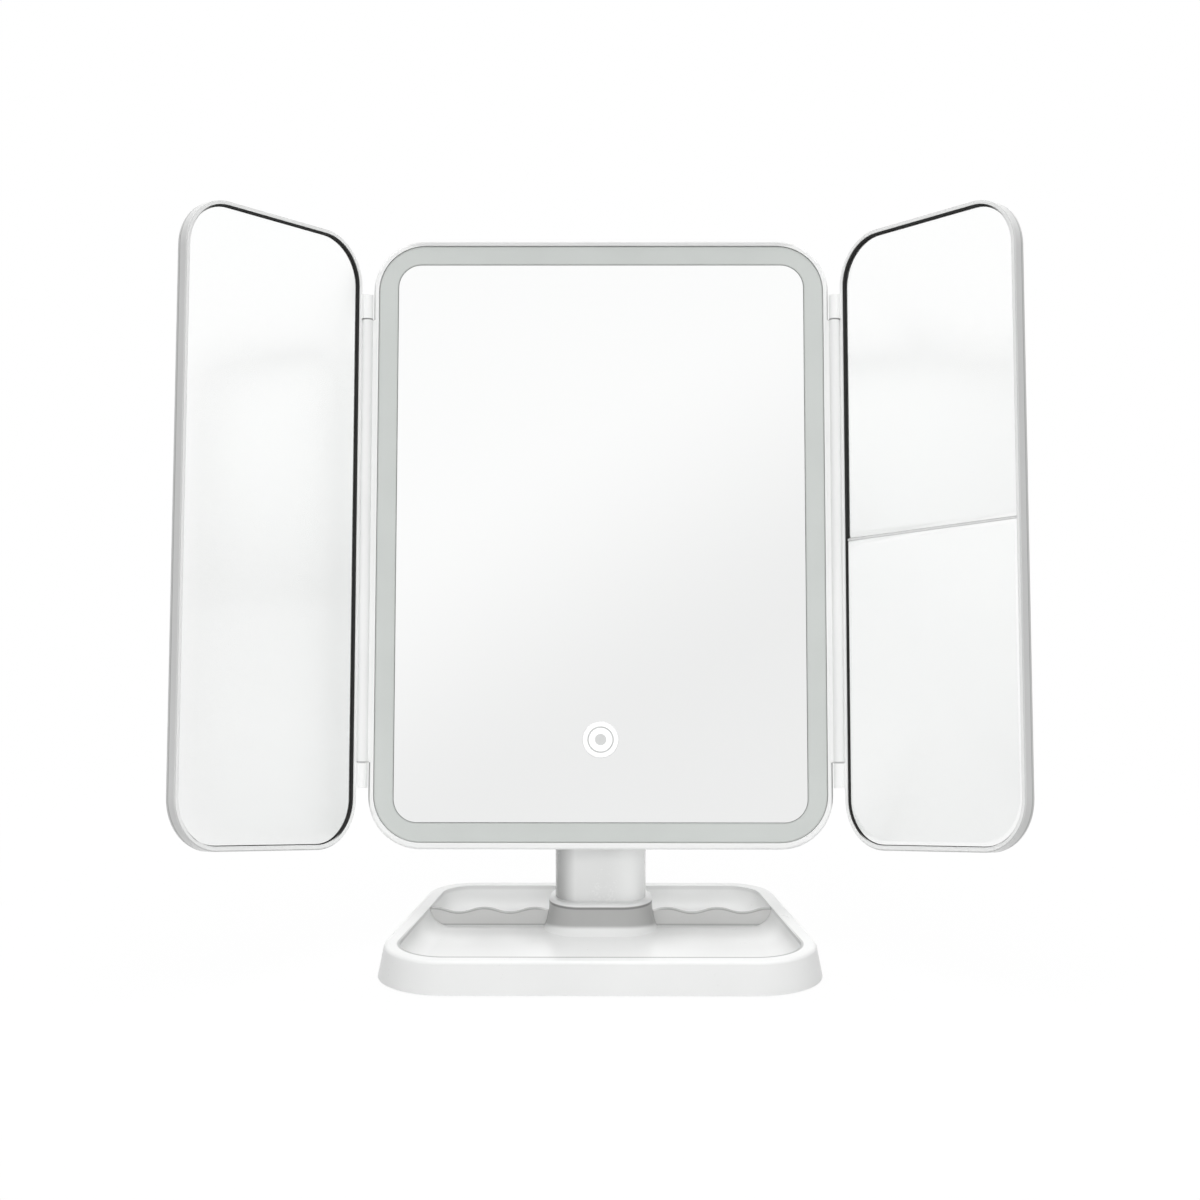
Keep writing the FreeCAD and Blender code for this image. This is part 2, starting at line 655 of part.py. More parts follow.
# ---------------------------------------------------------------- tilt hinge, on the head
def tilt_point(x):
    return Vector(x, PIVOT_DEPTH, PIVOT_RISE)


def tilt_bolt():
    seat = EAR_OUTER - EAR_POCKET_DEPTH
    shank = rod(TILT_BOLT_RADIUS, tilt_point(-seat), tilt_point(seat + SPRING_WASHER_THICK + TILT_NUT[1]))
    head = rod(BOLT_HEAD[0], tilt_point(-seat - BOLT_HEAD[1]), tilt_point(-seat))
    width, depth = BOLT_SLOT
    end = -seat - BOLT_HEAD[1]
    slot = block(end - PAST, end + depth, PIVOT_DEPTH - width / 2, PIVOT_DEPTH + width / 2,
                 PIVOT_RISE - BOLT_HEAD[0], PIVOT_RISE + BOLT_HEAD[0])
    return shank.fuse(head).cut(slot)


def tilt_nut():
    """A hexagon nut in the right ear's pocket."""
    start = EAR_OUTER - EAR_POCKET_DEPTH + SPRING_WASHER_THICK
    corner = TILT_NUT[0] / math.sqrt(3)
    points = []
    for step in range(7):
        angle = math.radians(60 * step)
        points.append(tilt_point(start) + Vector(0, corner * math.cos(angle), corner * math.sin(angle)))
    body = Part.Face(Part.makePolygon(points)).extrude(Vector(TILT_NUT[1], 0, 0))
    return body.cut(rod(TILT_BOLT_RADIUS, tilt_point(start - PAST), tilt_point(start + TILT_NUT[1] + PAST)))


def spring_washer():
    start = EAR_OUTER - EAR_POCKET_DEPTH
    return tube(BOLT_HEAD[0], TILT_BOLT_RADIUS, tilt_point(start), tilt_point(start + SPRING_WASHER_THICK))


def friction_washers():
    """One between each ear and the neck."""
    start = EAR_INNER - FRICTION_WASHER[1] - TILT_PLAY
    end = start + FRICTION_WASHER[1]
    return both_sides(tube(FRICTION_WASHER[0], TILT_BOLT_RADIUS, tilt_point(start), tilt_point(end)))


def ear_caps():
    cap = rod(EAR_POCKET_RADIUS - FIT / 2, tilt_point(EAR_OUTER - EAR_CAP_THICK), tilt_point(EAR_OUTER))
    cap = round_flat_edges(cap, 0, EAR_OUTER, EAR_CAP_ROUND)
    return both_sides(cap)


# ---------------------------------------------------------------- head
def head_frame():
    """The tray-shaped front frame: rim, floor, light channel walls, ribs and hinge barrels."""
    frame = slab(HEAD_BOX, HEAD_CORNER, 0, HEAD_SPLIT)
    frame = round_flat_edges(frame, 1, 0, HEAD_FRONT_ROUND)
    frame = frame.cut(slab(OPENING, OPENING_CORNER, -PAST, LED_DECK))
    frame = frame.fuse(frame_ledges() + frame_ribs() + frame_bosses())
    for x, height in head_screw_places():
        frame = frame.cut(along_y(SCREW_RADIUS, x, height, HEAD_SPLIT - HEAD_FLOOR - PAST, BOSS_BACK + PAST))
    frame = frame.cut(along_y(SPRING_HOLE, 0, KEY_HEIGHT, 0, HEAD_SPLIT + PAST))
    frame = frame.cut(both_sides(along_y(LEAD_HOLE, LEAD_SIDE, LEAD_HEIGHT, 0, HEAD_SPLIT + PAST)))
    frame = frame.fuse(both_sides(hinge_barrel()))
    for hole in pin_holes():
        frame = frame.cut(both_sides(hole))
    return frame.removeSplitter()


def frame_ledges():
    """The ledge under the diffuser's outer edge and the wall under its inner edge."""
    half = CHANNEL_WALL / 2
    root = LED_DECK + LAP
    outer = ring(shrink(OPENING, -LAP), OPENING_CORNER + LAP, shrink(OPENING, LEDGE), OPENING_CORNER - LEDGE,
                 DIFFUSER_BACK, root)
    inner = ring(shrink(WINDOW, -half), BAND_CORNER + half, shrink(WINDOW, half), BAND_CORNER - half,
                 DIFFUSER_BACK, root)
    return [outer, inner]


def frame_ribs():
    """The ribs that carry the mirror."""
    left, right, low, high = WINDOW
    half = RIB_THICK / 2
    root = LED_DECK + LAP
    heights = [HEAD_HEIGHT - RIB_END - RIB_PITCH * index for index in range(RIB_COUNT)]
    ribs = [block(left, right, TAPE_BACK, root, height - half, height + half) for height in heights]
    for x in RIB_SIDES:
        ribs += both_sides(block(x - half, x + half, TAPE_BACK, root, low, high))
    return ribs


def frame_bosses():
    """Screw bosses on the floor's back, and the control board's posts with their stakes."""
    front = HEAD_SPLIT - HEAD_FLOOR - PAST
    bosses = [along_y(BOSS_RADIUS, x, height, front, BOSS_BACK) for x, height in head_screw_places()]
    board_back = BOARD_FRONT + BOARD_THICK
    for x, height in board_posts():
        bosses.append(along_y(POST_RADIUS, x, height, LED_DECK, BOARD_FRONT))
        bosses.append(along_y(STAKE_RADIUS, x, height, LED_DECK, board_back + STAKE_RISE))
    return bosses


def hinge_point(height):
    return Vector(HINGE_X, -HINGE_AHEAD, height)


def hinge_barrel():
    """The long barrel down the panel's side, with the leaf that joins it to the frame."""
    barrel = rod(HINGE_RADIUS, hinge_point(BARREL_LOW), hinge_point(BARREL_HIGH))
    leaf = block(HEAD_WIDTH / 2 - HEAD_RIM / 2, HINGE_X, -HINGE_AHEAD, HINGE_LEAF, BARREL_LOW, BARREL_HIGH)
    return barrel.fuse(leaf)


def pin_holes():
    radius = PIN_RADIUS + PIN_PLAY
    depth = PIN_REACH + PIN_END_PLAY
    low = rod(radius, hinge_point(BARREL_LOW - PAST), hinge_point(BARREL_LOW + depth))
    high = rod(radius, hinge_point(BARREL_HIGH - depth), hinge_point(BARREL_HIGH + PAST))
    return [low, high]


def head_screw_places():
    side = HEAD_WIDTH / 2 - HEAD_SCREW_INSET
    heights = (HEAD_SCREW_END, HEAD_HEIGHT / 2, HEAD_HEIGHT - HEAD_SCREW_END)
    return [(x, height) for x in (-side, side) for height in heights]


def board_posts():
    left, right, low, high = shrink(BOARD_BOX, POST_INSET)
    return [(left, low), (right, low), (left, high), (right, high)]


def tilt_ears():
    """The two ears that carry the tilt bolt."""
    ears = []
    for near, far in ((-EAR_OUTER, -EAR_INNER), (EAR_INNER, EAR_OUTER)):
        root = block(near, far, BACK_SKIN, PIVOT_DEPTH, PIVOT_RISE - EAR_RADIUS, PIVOT_RISE + EAR_RADIUS)
        ears.append(root.fuse(rod(EAR_RADIUS, tilt_point(near), tilt_point(far))).removeSplitter())
    return ears


def head_rear_shell():
    """The back cover with the battery pod, the notch for the neck and the two tilt ears."""
    shell = slab(HEAD_BOX, HEAD_CORNER, HEAD_SPLIT, HEAD_DEPTH)
    shell = round_flat_edges(shell, 1, HEAD_DEPTH, HEAD_BACK_ROUND)
    pod = slab(POD_BOX, POD_CORNER, BACK_SKIN, POD_DEPTH)
    shell = shell.fuse(round_flat_edges(pod, 1, POD_DEPTH, POD_ROUND))
    inside, inside_corner = shrink(HEAD_BOX, HEAD_WALL), HEAD_CORNER - HEAD_WALL
    shell = shell.cut(slab(inside, inside_corner, HEAD_SPLIT - PAST, BACK_SKIN))
    shell = shell.cut(slab(shrink(POD_BOX, HEAD_WALL), POD_CORNER - HEAD_WALL, HEAD_SPLIT, POD_SKIN))
    side = EAR_INNER
    liner = block(-side - HEAD_WALL, side + HEAD_WALL, NOTCH_FLOOR - NOTCH_WALL, BACK_SKIN + LAP,
                  HEAD_WALL / 2, NOTCH_HEIGHT + HEAD_WALL)
    shell = shell.fuse([liner] + tilt_ears())
    shell = shell.cut(block(-side, side, NOTCH_FLOOR, HEAD_DEPTH + PAST, -PAST, NOTCH_HEIGHT))
    shell = shell.cut(rod(TILT_BOLT_RADIUS, tilt_point(-EAR_OUTER - PAST), tilt_point(EAR_OUTER + PAST)))
    pocket = rod(EAR_POCKET_RADIUS, tilt_point(EAR_OUTER - EAR_POCKET_DEPTH), tilt_point(EAR_OUTER + PAST))
    shell = shell.cut(both_sides(pocket))
    for x, height in head_screw_places():
        seat = HEAD_DEPTH - SCREW_HEAD[1]
        shell = shell.fuse(along_y(SCREW_HEAD[0] + FIT + BOSS_SKIN, x, height, BOSS_BACK, BACK_SKIN + LAP))
        shell = shell.cut(along_y(SCREW_RADIUS + FIT, x, height, 0, seat + LAP))
        shell = shell.cut(along_y(SCREW_HEAD[0] + FIT, x, height, seat, HEAD_DEPTH + PAST))
    shell = shell.cut(slab(door_box(0), DOOR_CORNER, POD_DEPTH - DOOR_STEP, POD_DEPTH + PAST))
    shell = shell.cut(slab(door_box(DOOR_LEDGE), DOOR_PLUG_CORNER, POD_SKIN - PAST, POD_DEPTH))
    shell = shell.cut(usb_body(FIT, POD_HALF + PAST))
    return shell.removeSplitter()


def door_box(inset):
    half = DOOR_SIZE[0] / 2
    low, high = TRAY_MIDDLE - DOOR_SIZE[1] / 2, TRAY_MIDDLE + DOOR_SIZE[1] / 2
    return shrink((-half, half, low, high), inset)


def battery_door():
    """A lift-off cover: a plate on the pod's ledge, with a plug below it and finger ridges on it."""
    ledge = POD_DEPTH - DOOR_STEP
    plate = slab(door_box(DOOR_PLAY), DOOR_CORNER - DOOR_PLAY, ledge, POD_DEPTH)
    plug = slab(door_box(DOOR_LEDGE + DOOR_PLAY), DOOR_PLUG_CORNER - DOOR_PLAY, POD_SKIN + FIT, ledge + LAP)
    length, width, rise = DOOR_RIDGE
    ridges = []
    for step in range(DOOR_RIDGES):
        middle = door_box(DOOR_RIDGE_INSET)[3] - DOOR_RIDGE_PITCH * step
        outline = (-length / 2, length / 2, middle - width / 2, middle + width / 2)
        ridges.append(slab(outline, width * RIDGE_ROUND, POD_DEPTH - LAP, POD_DEPTH + rise))
    return plate.fuse([plug] + ridges).removeSplitter()


def battery_tray():
    """The open tray that holds the cells behind the door."""
    outer = (-TRAY_HALF - TRAY_WALL, TRAY_HALF + TRAY_WALL, TRAY_LOW, TRAY_LOW + TRAY_LENGTH + 2 * TRAY_WALL)
    bottom = CELL_FLOOR - TRAY_WALL
    body = slab(outer, TRAY_CORNER, bottom, POD_SKIN - FIT / 2)
    body = body.cut(slab(shrink(outer, TRAY_WALL), TRAY_SIDE, CELL_FLOOR, POD_SKIN + PAST))
    left, right, low, high = shrink(outer, TRAY_FOOT_INSET)
    places = [(x, height) for x in (left, right) for height in (low, high)]
    return body.fuse([along_y(TRAY_FOOT, x, height, HEAD_SPLIT, bottom + LAP) for x, height in places])


def cell_x(index):
    return (index - (CELL_COUNT - 1) / 2) * CELL_PITCH


def cell_up(index):
    """Whether a cell's button points up: neighbours alternate."""
    return index % 2 == 0


def battery_cells():
    cells = []
    nub_radius, nub_height = CELL_NUB
    contact_low = TRAY_LOW + TRAY_WALL + CONTACT_THICK
    for index in range(CELL_COUNT):
        x = cell_x(index)
        low = contact_low + (CONTACT_SPRING if cell_up(index) else 0) + FIT / 2
        can_low = low if cell_up(index) else low + nub_height
        can = rod(CELL_RADIUS - FIT / 2, Vector(x, CELL_DEPTH, can_low),
                  Vector(x, CELL_DEPTH, can_low + CELL_LENGTH - nub_height))
        nub_low = can_low + CELL_LENGTH - nub_height if cell_up(index) else low
        nub = rod(nub_radius, Vector(x, CELL_DEPTH, nub_low), Vector(x, CELL_DEPTH, nub_low + nub_height))
        cells.append(can.fuse(nub))
    return cells


def battery_contacts():
    """A plate at both ends of each cell, with a stepped spring where its flat end is."""
    pieces = []
    low = TRAY_LOW + TRAY_WALL
    high = low + TRAY_LENGTH
    half = CELL_RADIUS - CONTACT_INSET
    turn = CONTACT_SPRING / SPRING_RINGS
    for index in range(CELL_COUNT):
        x = cell_x(index)
        for at_top in (False, True):
            start = high - CONTACT_THICK if at_top else low
            plate = block(x - half, x + half, CELL_DEPTH - half, CELL_DEPTH + half,
                          start, start + CONTACT_THICK)
            if at_top != cell_up(index):
                for step in range(SPRING_RINGS):
                    radius = SPRING_RADIUS - SPRING_TAPER * step
                    base = start - turn * (step + 1) if at_top else start + CONTACT_THICK + turn * step
                    ends = Vector(x, CELL_DEPTH, base), Vector(x, CELL_DEPTH, base + turn)
                    plate = plate.fuse(tube(radius, radius - SPRING_RING, *ends))
            pieces.append(plate)
    return pieces


def usb_body(grow, end):
    """The inlet's outline, from its inner end out to `end`, in the pod's right side wall."""
    length, width, height = USB_BODY
    half_width, half_height = width / 2 + grow, height / 2 + grow
    inner = POD_HALF - length
    corners = [Vector(inner, USB_DEPTH - half_height, USB_RISE - half_width)]
    corners.append(Vector(inner, USB_DEPTH + half_height, USB_RISE - half_width))
    corners.append(Vector(inner, USB_DEPTH + half_height, USB_RISE + half_width))
    corners.append(Vector(inner, USB_DEPTH - half_height, USB_RISE + half_width))
    outline = rounded_wire(corners, [USB_CORNER + min(grow, 0)] * 4)
    return Part.Face(outline).extrude(Vector(end - inner, 0, 0))


def usb_inlet():
    """The metal shell of the charging inlet with the tongue inside it."""
    length, width, height = USB_BODY
    tongue_width, tongue_thick = USB_TONGUE
    back = POD_HALF - length + USB_BACK
    outer = usb_body(0, POD_HALF - USB_SINK)
    hollow = usb_body(-USB_SHEET, POD_HALF + PAST)
    hollow = hollow.common(block(back, POD_HALF + PAST, 0, 2 * POD_DEPTH, 0, 2 * USB_RISE))
    tongue = block(back - LAP, POD_HALF - USB_TONGUE_SINK, USB_DEPTH - tongue_thick / 2,
                   USB_DEPTH + tongue_thick / 2, USB_RISE - tongue_width / 2, USB_RISE + tongue_width / 2)
    return outer.cut(hollow).fuse(tongue)


def usb_board():
    """The small board that the inlet is soldered to, on two posts from the frame."""
    length, width, thick = USB_BOARD
    back = USB_DEPTH - USB_BODY[2] / 2
    outline = (USB_BOARD_END - length, USB_BOARD_END, USB_RISE - width / 2, USB_RISE + width / 2)
    board = slab(outline, USB_BOARD_CORNER, back - thick, back)
    left, right, low, high = shrink(outline, USB_POST_INSET)
    posts = [along_y(USB_POST_RADIUS, left, height, HEAD_SPLIT, back - thick / 2) for height in (low, high)]
    return board.fuse(posts)


def light_diffuser():
    """The frosted border that the light shines through."""
    outer = shrink(OPENING, FIT)
    return ring(outer, OPENING_CORNER - FIT, WINDOW, BAND_CORNER, GLASS_SINK, DIFFUSER_BACK)


def centre_mirror():
    return slab(shrink(WINDOW, FIT), BAND_CORNER - FIT, GLASS_SINK, GLASS_BACK)


def mirror_tape():
    sheet = slab(shrink(WINDOW, TAPE_INSET), BAND_CORNER - TAPE_INSET / 2, GLASS_BACK, TAPE_BACK)
    return sheet.cut(along_y(KEY_WELL, 0, KEY_HEIGHT, 0, HEAD_SPLIT))


def touch_key():
    """The round touch mark on the glass: a ring with a dot in it."""
    front, back = GLASS_SINK - KEY_THICK, GLASS_SINK
    mark = tube(KEY_RADIUS, KEY_RADIUS - KEY_RING, Vector(0, front, KEY_HEIGHT), Vector(0, back, KEY_HEIGHT))
    return [mark, along_y(KEY_DOT, 0, KEY_HEIGHT, front, back)]


def touch_spring():
    """The square-wire coil that joins the glass behind the touch mark to the control board."""
    height = BOARD_FRONT - GLASS_BACK - TOUCH_SPRING_WIRE
    helix = Part.makeHelix(height / TOUCH_SPRING_TURNS, height, TOUCH_SPRING_RADIUS)
    half = TOUCH_SPRING_WIRE / 2
    near, far = TOUCH_SPRING_RADIUS - half, TOUCH_SPRING_RADIUS + half
    section = [Vector(near, 0, -half), Vector(far, 0, -half), Vector(far, 0, half), Vector(near, 0, half)]
    outline = Part.makePolygon(section + section[:1])
    coil = Part.Wire(helix.Edges).makePipeShell([outline], True, True)
    coil.rotate(Vector(0, 0, 0), X_AXIS, -90)
    coil.translate(Vector(0, GLASS_BACK + half, KEY_HEIGHT))
    return coil


def led_board():
    """The ring-shaped board on the floor of the light channel."""
    outer_gap = LEDGE + FIT
    inner_gap = CHANNEL_WALL / 2 + FIT
    return ring(shrink(OPENING, outer_gap), OPENING_CORNER - outer_gap, shrink(WINDOW, -inner_gap),
                BAND_CORNER + inner_gap, LED_DECK - LED_BOARD_THICK, LED_DECK)


def led_chips():
    """Light-emitting diodes along the middle of the light channel."""
    left, right, low, high = shrink(OPENING, LIGHT_BAND / 2)
    long_side, short_side, thick = LED_SIZE
    back = LED_DECK - LED_BOARD_THICK
    chips = []

    def chip(x, height, along_x):
        half_x, half_z = (long_side / 2, short_side / 2) if along_x else (short_side / 2, long_side / 2)
        chips.append(block(x - half_x, x + half_x, back - thick, back, height - half_z, height + half_z))

    across, up = right - left - OPENING_CORNER, high - low - OPENING_CORNER
    for index in range(LEDS_ACROSS):
        x = across * (index / (LEDS_ACROSS - 1) - 0.5)
        chip(x, low, True)
        chip(x, high, True)
    for index in range(LEDS_UP):
        height = (low + high) / 2 + up * (index / (LEDS_UP - 1) - 0.5)
        chip(left, height, False)
        chip(right, height, False)
    return chips


def control_board():
    board = slab(BOARD_BOX, BOARD_CORNER, BOARD_FRONT, BOARD_FRONT + BOARD_THICK)
    for x, height in board_posts():
        board = board.cut(along_y(STAKE_RADIUS, x, height, 0, POD_DEPTH))
    return board


def board_components():
    """A chip, a regulator, a coil, two plugs and a capacitor on the board's back."""
    left, right, low, high = BOARD_BOX
    face = BOARD_FRONT + BOARD_THICK
    middle = (low + high) / 2

    def component(size, x, height):
        across, up, thick = size
        return block(x - across / 2, x + across / 2, face, face + thick, height - up / 2, height + up / 2)

    parts = [component(CHIP, 0, middle), component(REGULATOR, REGULATOR_X, middle)]
    parts += [component(COIL, COIL_X, middle), component(PLUG_BODY, INLET_PLUG_X, low + INLET_PLUG_RISE)]
    parts.append(component(BATTERY_PLUG, BATTERY_PLUG_X, battery_plug_top() - BATTERY_PLUG[1] / 2))
    radius, rise = CAPACITOR
    parts.append(along_y(radius, CAPACITOR_X, middle, face, face + rise))
    return parts


def battery_plug_top():
    return BOARD_BOX[3] - BOARD_CORNER


def bent_lead(points, bend, radius):
    """A round wire along straight runs joined by tangent arcs."""
    edges = []
    start = points[0]
    for index in range(1, len(points) - 1):
        corner = points[index]
        to_last = (points[index - 1] - corner).normalize()
        to_next = (points[index + 1] - corner).normalize()
        half = to_last.getAngle(to_next) / 2
        reach = bend / math.tan(half)
        inward = (to_last + to_next).normalize()
        enter, leave = corner + to_last * reach, corner + to_next * reach
        middle = corner + inward * (bend / math.sin(half) - bend)
        edges.append(Part.LineSegment(start, enter).toShape())
        edges.append(Part.Arc(enter, middle, leave).toShape())
        start = leave
    edges.append(Part.LineSegment(start, points[-1]).toShape())
    circle = Part.makeCircle(radius, points[0], points[1] - points[0])
    return Part.Wire(edges).makePipeShell([Part.Wire(circle)], True, True)


def head_wiring():
    """Leads from the board to the battery tray, the inlet and the light channel."""
    left, right, low, high = BOARD_BOX
    plug_face = BOARD_FRONT + BOARD_THICK + LEAD_RISE
    leads = []
    start, turn = battery_plug_top(), (high + TRAY_LOW) / 2
    entry = CELL_FLOOR + LEAD_ENTRY
    for side in (-1, 1):
        x = BATTERY_PLUG_X + side * LEAD_BATTERY_PITCH / 2
        path = [Vector(x, plug_face, start), Vector(x, plug_face, turn), Vector(x, entry, turn)]
        leads.append(bent_lead(path + [Vector(x, entry, TRAY_LOW)], LEAD_BEND, LEAD_RADIUS))
    start = INLET_PLUG_X + PLUG_BODY[0] / 2
    end = USB_BOARD_END - USB_BOARD[0]
    solder = USB_DEPTH - USB_BODY[2] / 2 - USB_BOARD[2] / 2
    for side in (-1, 1):
        height = low + INLET_PLUG_RISE + side * LEAD_PITCH / 2
        corner = end - LEAD_STEP
        path = [Vector(start, plug_face, height), Vector(corner, plug_face, height)]
        path += [Vector(corner, solder, height + LEAD_STEP), Vector(end, solder, height + LEAD_STEP)]
        leads.append(bent_lead(path, LEAD_BEND, LEAD_RADIUS))
    depth, landing = BOARD_FRONT + BOARD_THICK / 2, low + LEAD_LANDING
    for side in (-1, 1):
        x = side * LEAD_SIDE
        path = [Vector(x, LED_DECK, LEAD_HEIGHT), Vector(x, depth, LEAD_HEIGHT)]
        path += [Vector(x, depth, landing), Vector(side * right, depth, landing)]
        leads.append(bent_lead(path, LEAD_BEND, LEAD_RADIUS))
    return leads


def head_screws():
    under_head = HEAD_DEPTH - SCREW_HEAD[1]
    tips = [Vector(x, under_head - SCREW_LENGTH, height) for x, height in head_screw_places()]
    return [screw(tip, Y_AXIS, SCREW_LENGTH) for tip in tips]


# ---------------------------------------------------------------- wings
def wing_frame():
    """The front frame of a wing with its two hinge knuckles."""
    frame = slab(WING_BOX, WING_CORNER, 0, WING_SPLIT)
    frame = round_flat_edges(frame, 1, 0, WING_FRONT_ROUND)
    frame = frame.cut(slab(shrink(WING_BOX, WING_RIM), WING_CORNER - WING_RIM, -PAST, WING_SPLIT + PAST))
    for low, high in knuckle_spans():
        barrel = rod(HINGE_RADIUS, knuckle_point(low), knuckle_point(high))
        leaf = block(-HINGE_GAP, WING_RIM / 2, -HINGE_AHEAD, KNUCKLE_LEAF, low, high)
        frame = frame.fuse([barrel, leaf])
    for low, high in pin_spans():
        frame = frame.cut(rod(PIN_RADIUS, knuckle_point(low), knuckle_point(high)))
    return frame.removeSplitter()


def knuckle_point(height):
    return Vector(-HINGE_GAP, -HINGE_AHEAD, height)


def knuckle_spans():
    """The short knuckles below and above the panel's barrel."""
    below = BARREL_LOW - KNUCKLE_PLAY
    above = BARREL_HIGH + KNUCKLE_PLAY
    return [(below - KNUCKLE_LENGTH, below), (above, above + KNUCKLE_LENGTH)]


def pin_spans():
    """The pins reach from inside the knuckles into the barrel's ends."""
    (low_start, low_end), (high_start, high_end) = knuckle_spans()
    return [(low_start + PIN_COVER, BARREL_LOW + PIN_REACH), (BARREL_HIGH - PIN_REACH, high_end - PIN_COVER)]


def hinge_pins():
    return [rod(PIN_RADIUS, knuckle_point(low), knuckle_point(high)) for low, high in pin_spans()]


def wing_gasket():
    """The black ring that lines the recess round the glass."""
    outer, inner = shrink(WING_BOX, WING_RIM), shrink(WING_BOX, WING_RIM + GASKET_WIDTH)
    corner = WING_CORNER - WING_RIM
    return ring(outer, corner, inner, corner - GASKET_WIDTH, GASKET_SINK, WING_SPLIT)


def wing_back():
    back = slab(WING_BOX, WING_CORNER, WING_SPLIT, WING_DEPTH)
    return round_flat_edges(back, 1, WING_DEPTH, WING_BACK_ROUND)


def left_wing_back():
    """The left back has a raised field that carries the flat glass."""
    field = slab(GLASS_BOX, GLASS_CORNER, WING_GLASS_BACK + WING_TAPE_THICK, WING_SPLIT + LAP)
    return wing_back().fuse(field)


def left_wing_mirror():
    return slab(GLASS_BOX, GLASS_CORNER, WING_GLASS_SINK, WING_GLASS_BACK)


def left_wing_tape():
    outline = shrink(GLASS_BOX, WING_TAPE_INSET)
    return slab(outline, GLASS_CORNER - WING_TAPE_INSET, WING_GLASS_BACK, WING_GLASS_BACK + WING_TAPE_THICK)


def magnifier_boxes():
    """The lower and the upper half of the right wing's glass."""
    left, right, low, high = GLASS_BOX
    middle = (low + high) / 2
    gap = SPLIT_BAR / 2 + FIT
    return [(left, right, low, middle - gap), (left, right, middle + gap, high)]


def magnifier_sag(box):
    reach = math.hypot((box[1] - box[0]) / 2, (box[3] - box[2]) / 2)
    return MAGNIFIER_CURVE - math.sqrt(MAGNIFIER_CURVE ** 2 - reach ** 2)


def magnifier_ball(box, extra):
    """The sphere that a concave glass follows: its front, or its back when `extra` is its thickness."""
    deepest = WING_GLASS_SINK + magnifier_sag(box)
    centre = Vector((box[0] + box[1]) / 2, deepest - MAGNIFIER_CURVE, (box[2] + box[3]) / 2)
    return Part.makeSphere(MAGNIFIER_CURVE + extra, centre)


def magnifier_radii(upper):
    outer, square = GLASS_CORNER, MAGNIFIER_SQUARE
    return [square, square, outer, outer] if upper else [outer, outer, square, square]


def magnifier(index):
    box = magnifier_boxes()[index]
    body = slab(box, magnifier_radii(index == 1), 0, WING_DEPTH)
    return body.common(magnifier_ball(box, MAGNIFIER_THICK)).cut(magnifier_ball(box, 0))


def magnifier_pads():
    """Four round foam pads behind each concave glass, cut to its curve."""
    pads = []
    for box in magnifier_boxes():
        middle = Vector((box[0] + box[1]) / 2, 0, (box[2] + box[3]) / 2)
        ball = magnifier_ball(box, MAGNIFIER_THICK)
        for x in (middle.x - WING_PAD_SIDE, middle.x + WING_PAD_SIDE):
            for height in (middle.z - WING_PAD_RISE, middle.z + WING_PAD_RISE):
                pad = along_y(WING_PAD_RADIUS, x, height, WING_GLASS_SINK, MAGNIFIER_POCKET)
                pads.append(pad.cut(ball))
    return pads


def right_wing_back():
    """The right back is hollowed behind each concave glass, with a bridge between them."""
    back = wing_back()
    for box in magnifier_boxes():
        outline = shrink(box, MAGNIFIER_SEAT)
        back = back.cut(slab(outline, MAGNIFIER_POCKET_CORNER, WING_SPLIT - PAST, MAGNIFIER_POCKET))
    return back


def split_bar():
    """The thin strip between the two concave glasses."""
    left, right, low, high = GLASS_BOX
    middle = (low + high) / 2
    return block(left, right, SPLIT_BAR_SINK, WING_SPLIT, middle - SPLIT_BAR / 2, middle + SPLIT_BAR / 2)


# ---------------------------------------------------------------- all pieces
os.makedirs("parts", exist_ok=True)

save("base_shell", base_shell())
save("base_bottom_plate", base_bottom_plate())
save("base_ballast", base_ballast())
save("anti_slip_pad", anti_slip_pad())
save("base_screws", base_screws())

neck_front, neck_rear = neck_shells()
save("neck_front_shell", neck_front)
save("neck_rear_shell", neck_rear)
save("neck_spine", neck_spine())
save("neck_screws", neck_screws())

save_on_head("head_frame", head_frame())
save_on_head("head_rear_shell", head_rear_shell())
save_on_head("head_screws", head_screws())
save_on_head("light_diffuser", light_diffuser())
save_on_head("centre_mirror", centre_mirror())
save_on_head("mirror_tape", mirror_tape())
save_on_head("touch_key", touch_key())
save_on_head("touch_spring", touch_spring())
save_on_head("led_board", led_board())
save_on_head("led_chips", led_chips())
save_on_head("control_board", control_board())
save_on_head("board_components", board_components())
save_on_head("head_wiring", head_wiring())
save_on_head("usb_inlet", usb_inlet())
save_on_head("usb_board", usb_board())
save_on_head("battery_tray", battery_tray())
save_on_head("battery_contacts", battery_contacts())
save_on_head("battery_cells", battery_cells())
save_on_head("battery_door", battery_door())
save_on_head("tilt_bolt", tilt_bolt())
save_on_head("tilt_nut", tilt_nut())
save_on_head("tilt_spring_washer", spring_washer())
save_on_head("tilt_friction_washers", friction_washers())
save_on_head("ear_caps", ear_caps())

save_on_wing("left_wing_frame", wing_frame(), -1)
save_on_wing("left_wing_back", left_wing_back(), -1)
save_on_wing("left_wing_gasket", wing_gasket(), -1)
save_on_wing("left_wing_mirror", left_wing_mirror(), -1)
save_on_wing("left_wing_tape", left_wing_tape(), -1)
save_on_wing("left_hinge_pins", hinge_pins(), -1)

save_on_wing("right_wing_frame", wing_frame(), 1)
save_on_wing("right_wing_back", right_wing_back(), 1)
save_on_wing("right_wing_gasket", wing_gasket(), 1)
save_on_wing("lower_magnifier", magnifier(0), 1)
save_on_wing("upper_magnifier", magnifier(1), 1)
save_on_wing("magnifier_bar", split_bar(), 1)
save_on_wing("magnifier_pads", magnifier_pads(), 1)
save_on_wing("right_hinge_pins", hinge_pins(), 1)
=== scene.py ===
import math

import bmesh
import bpy
from bpy.props import FloatProperty, FloatVectorProperty, PointerProperty
from mathutils import Matrix, Vector


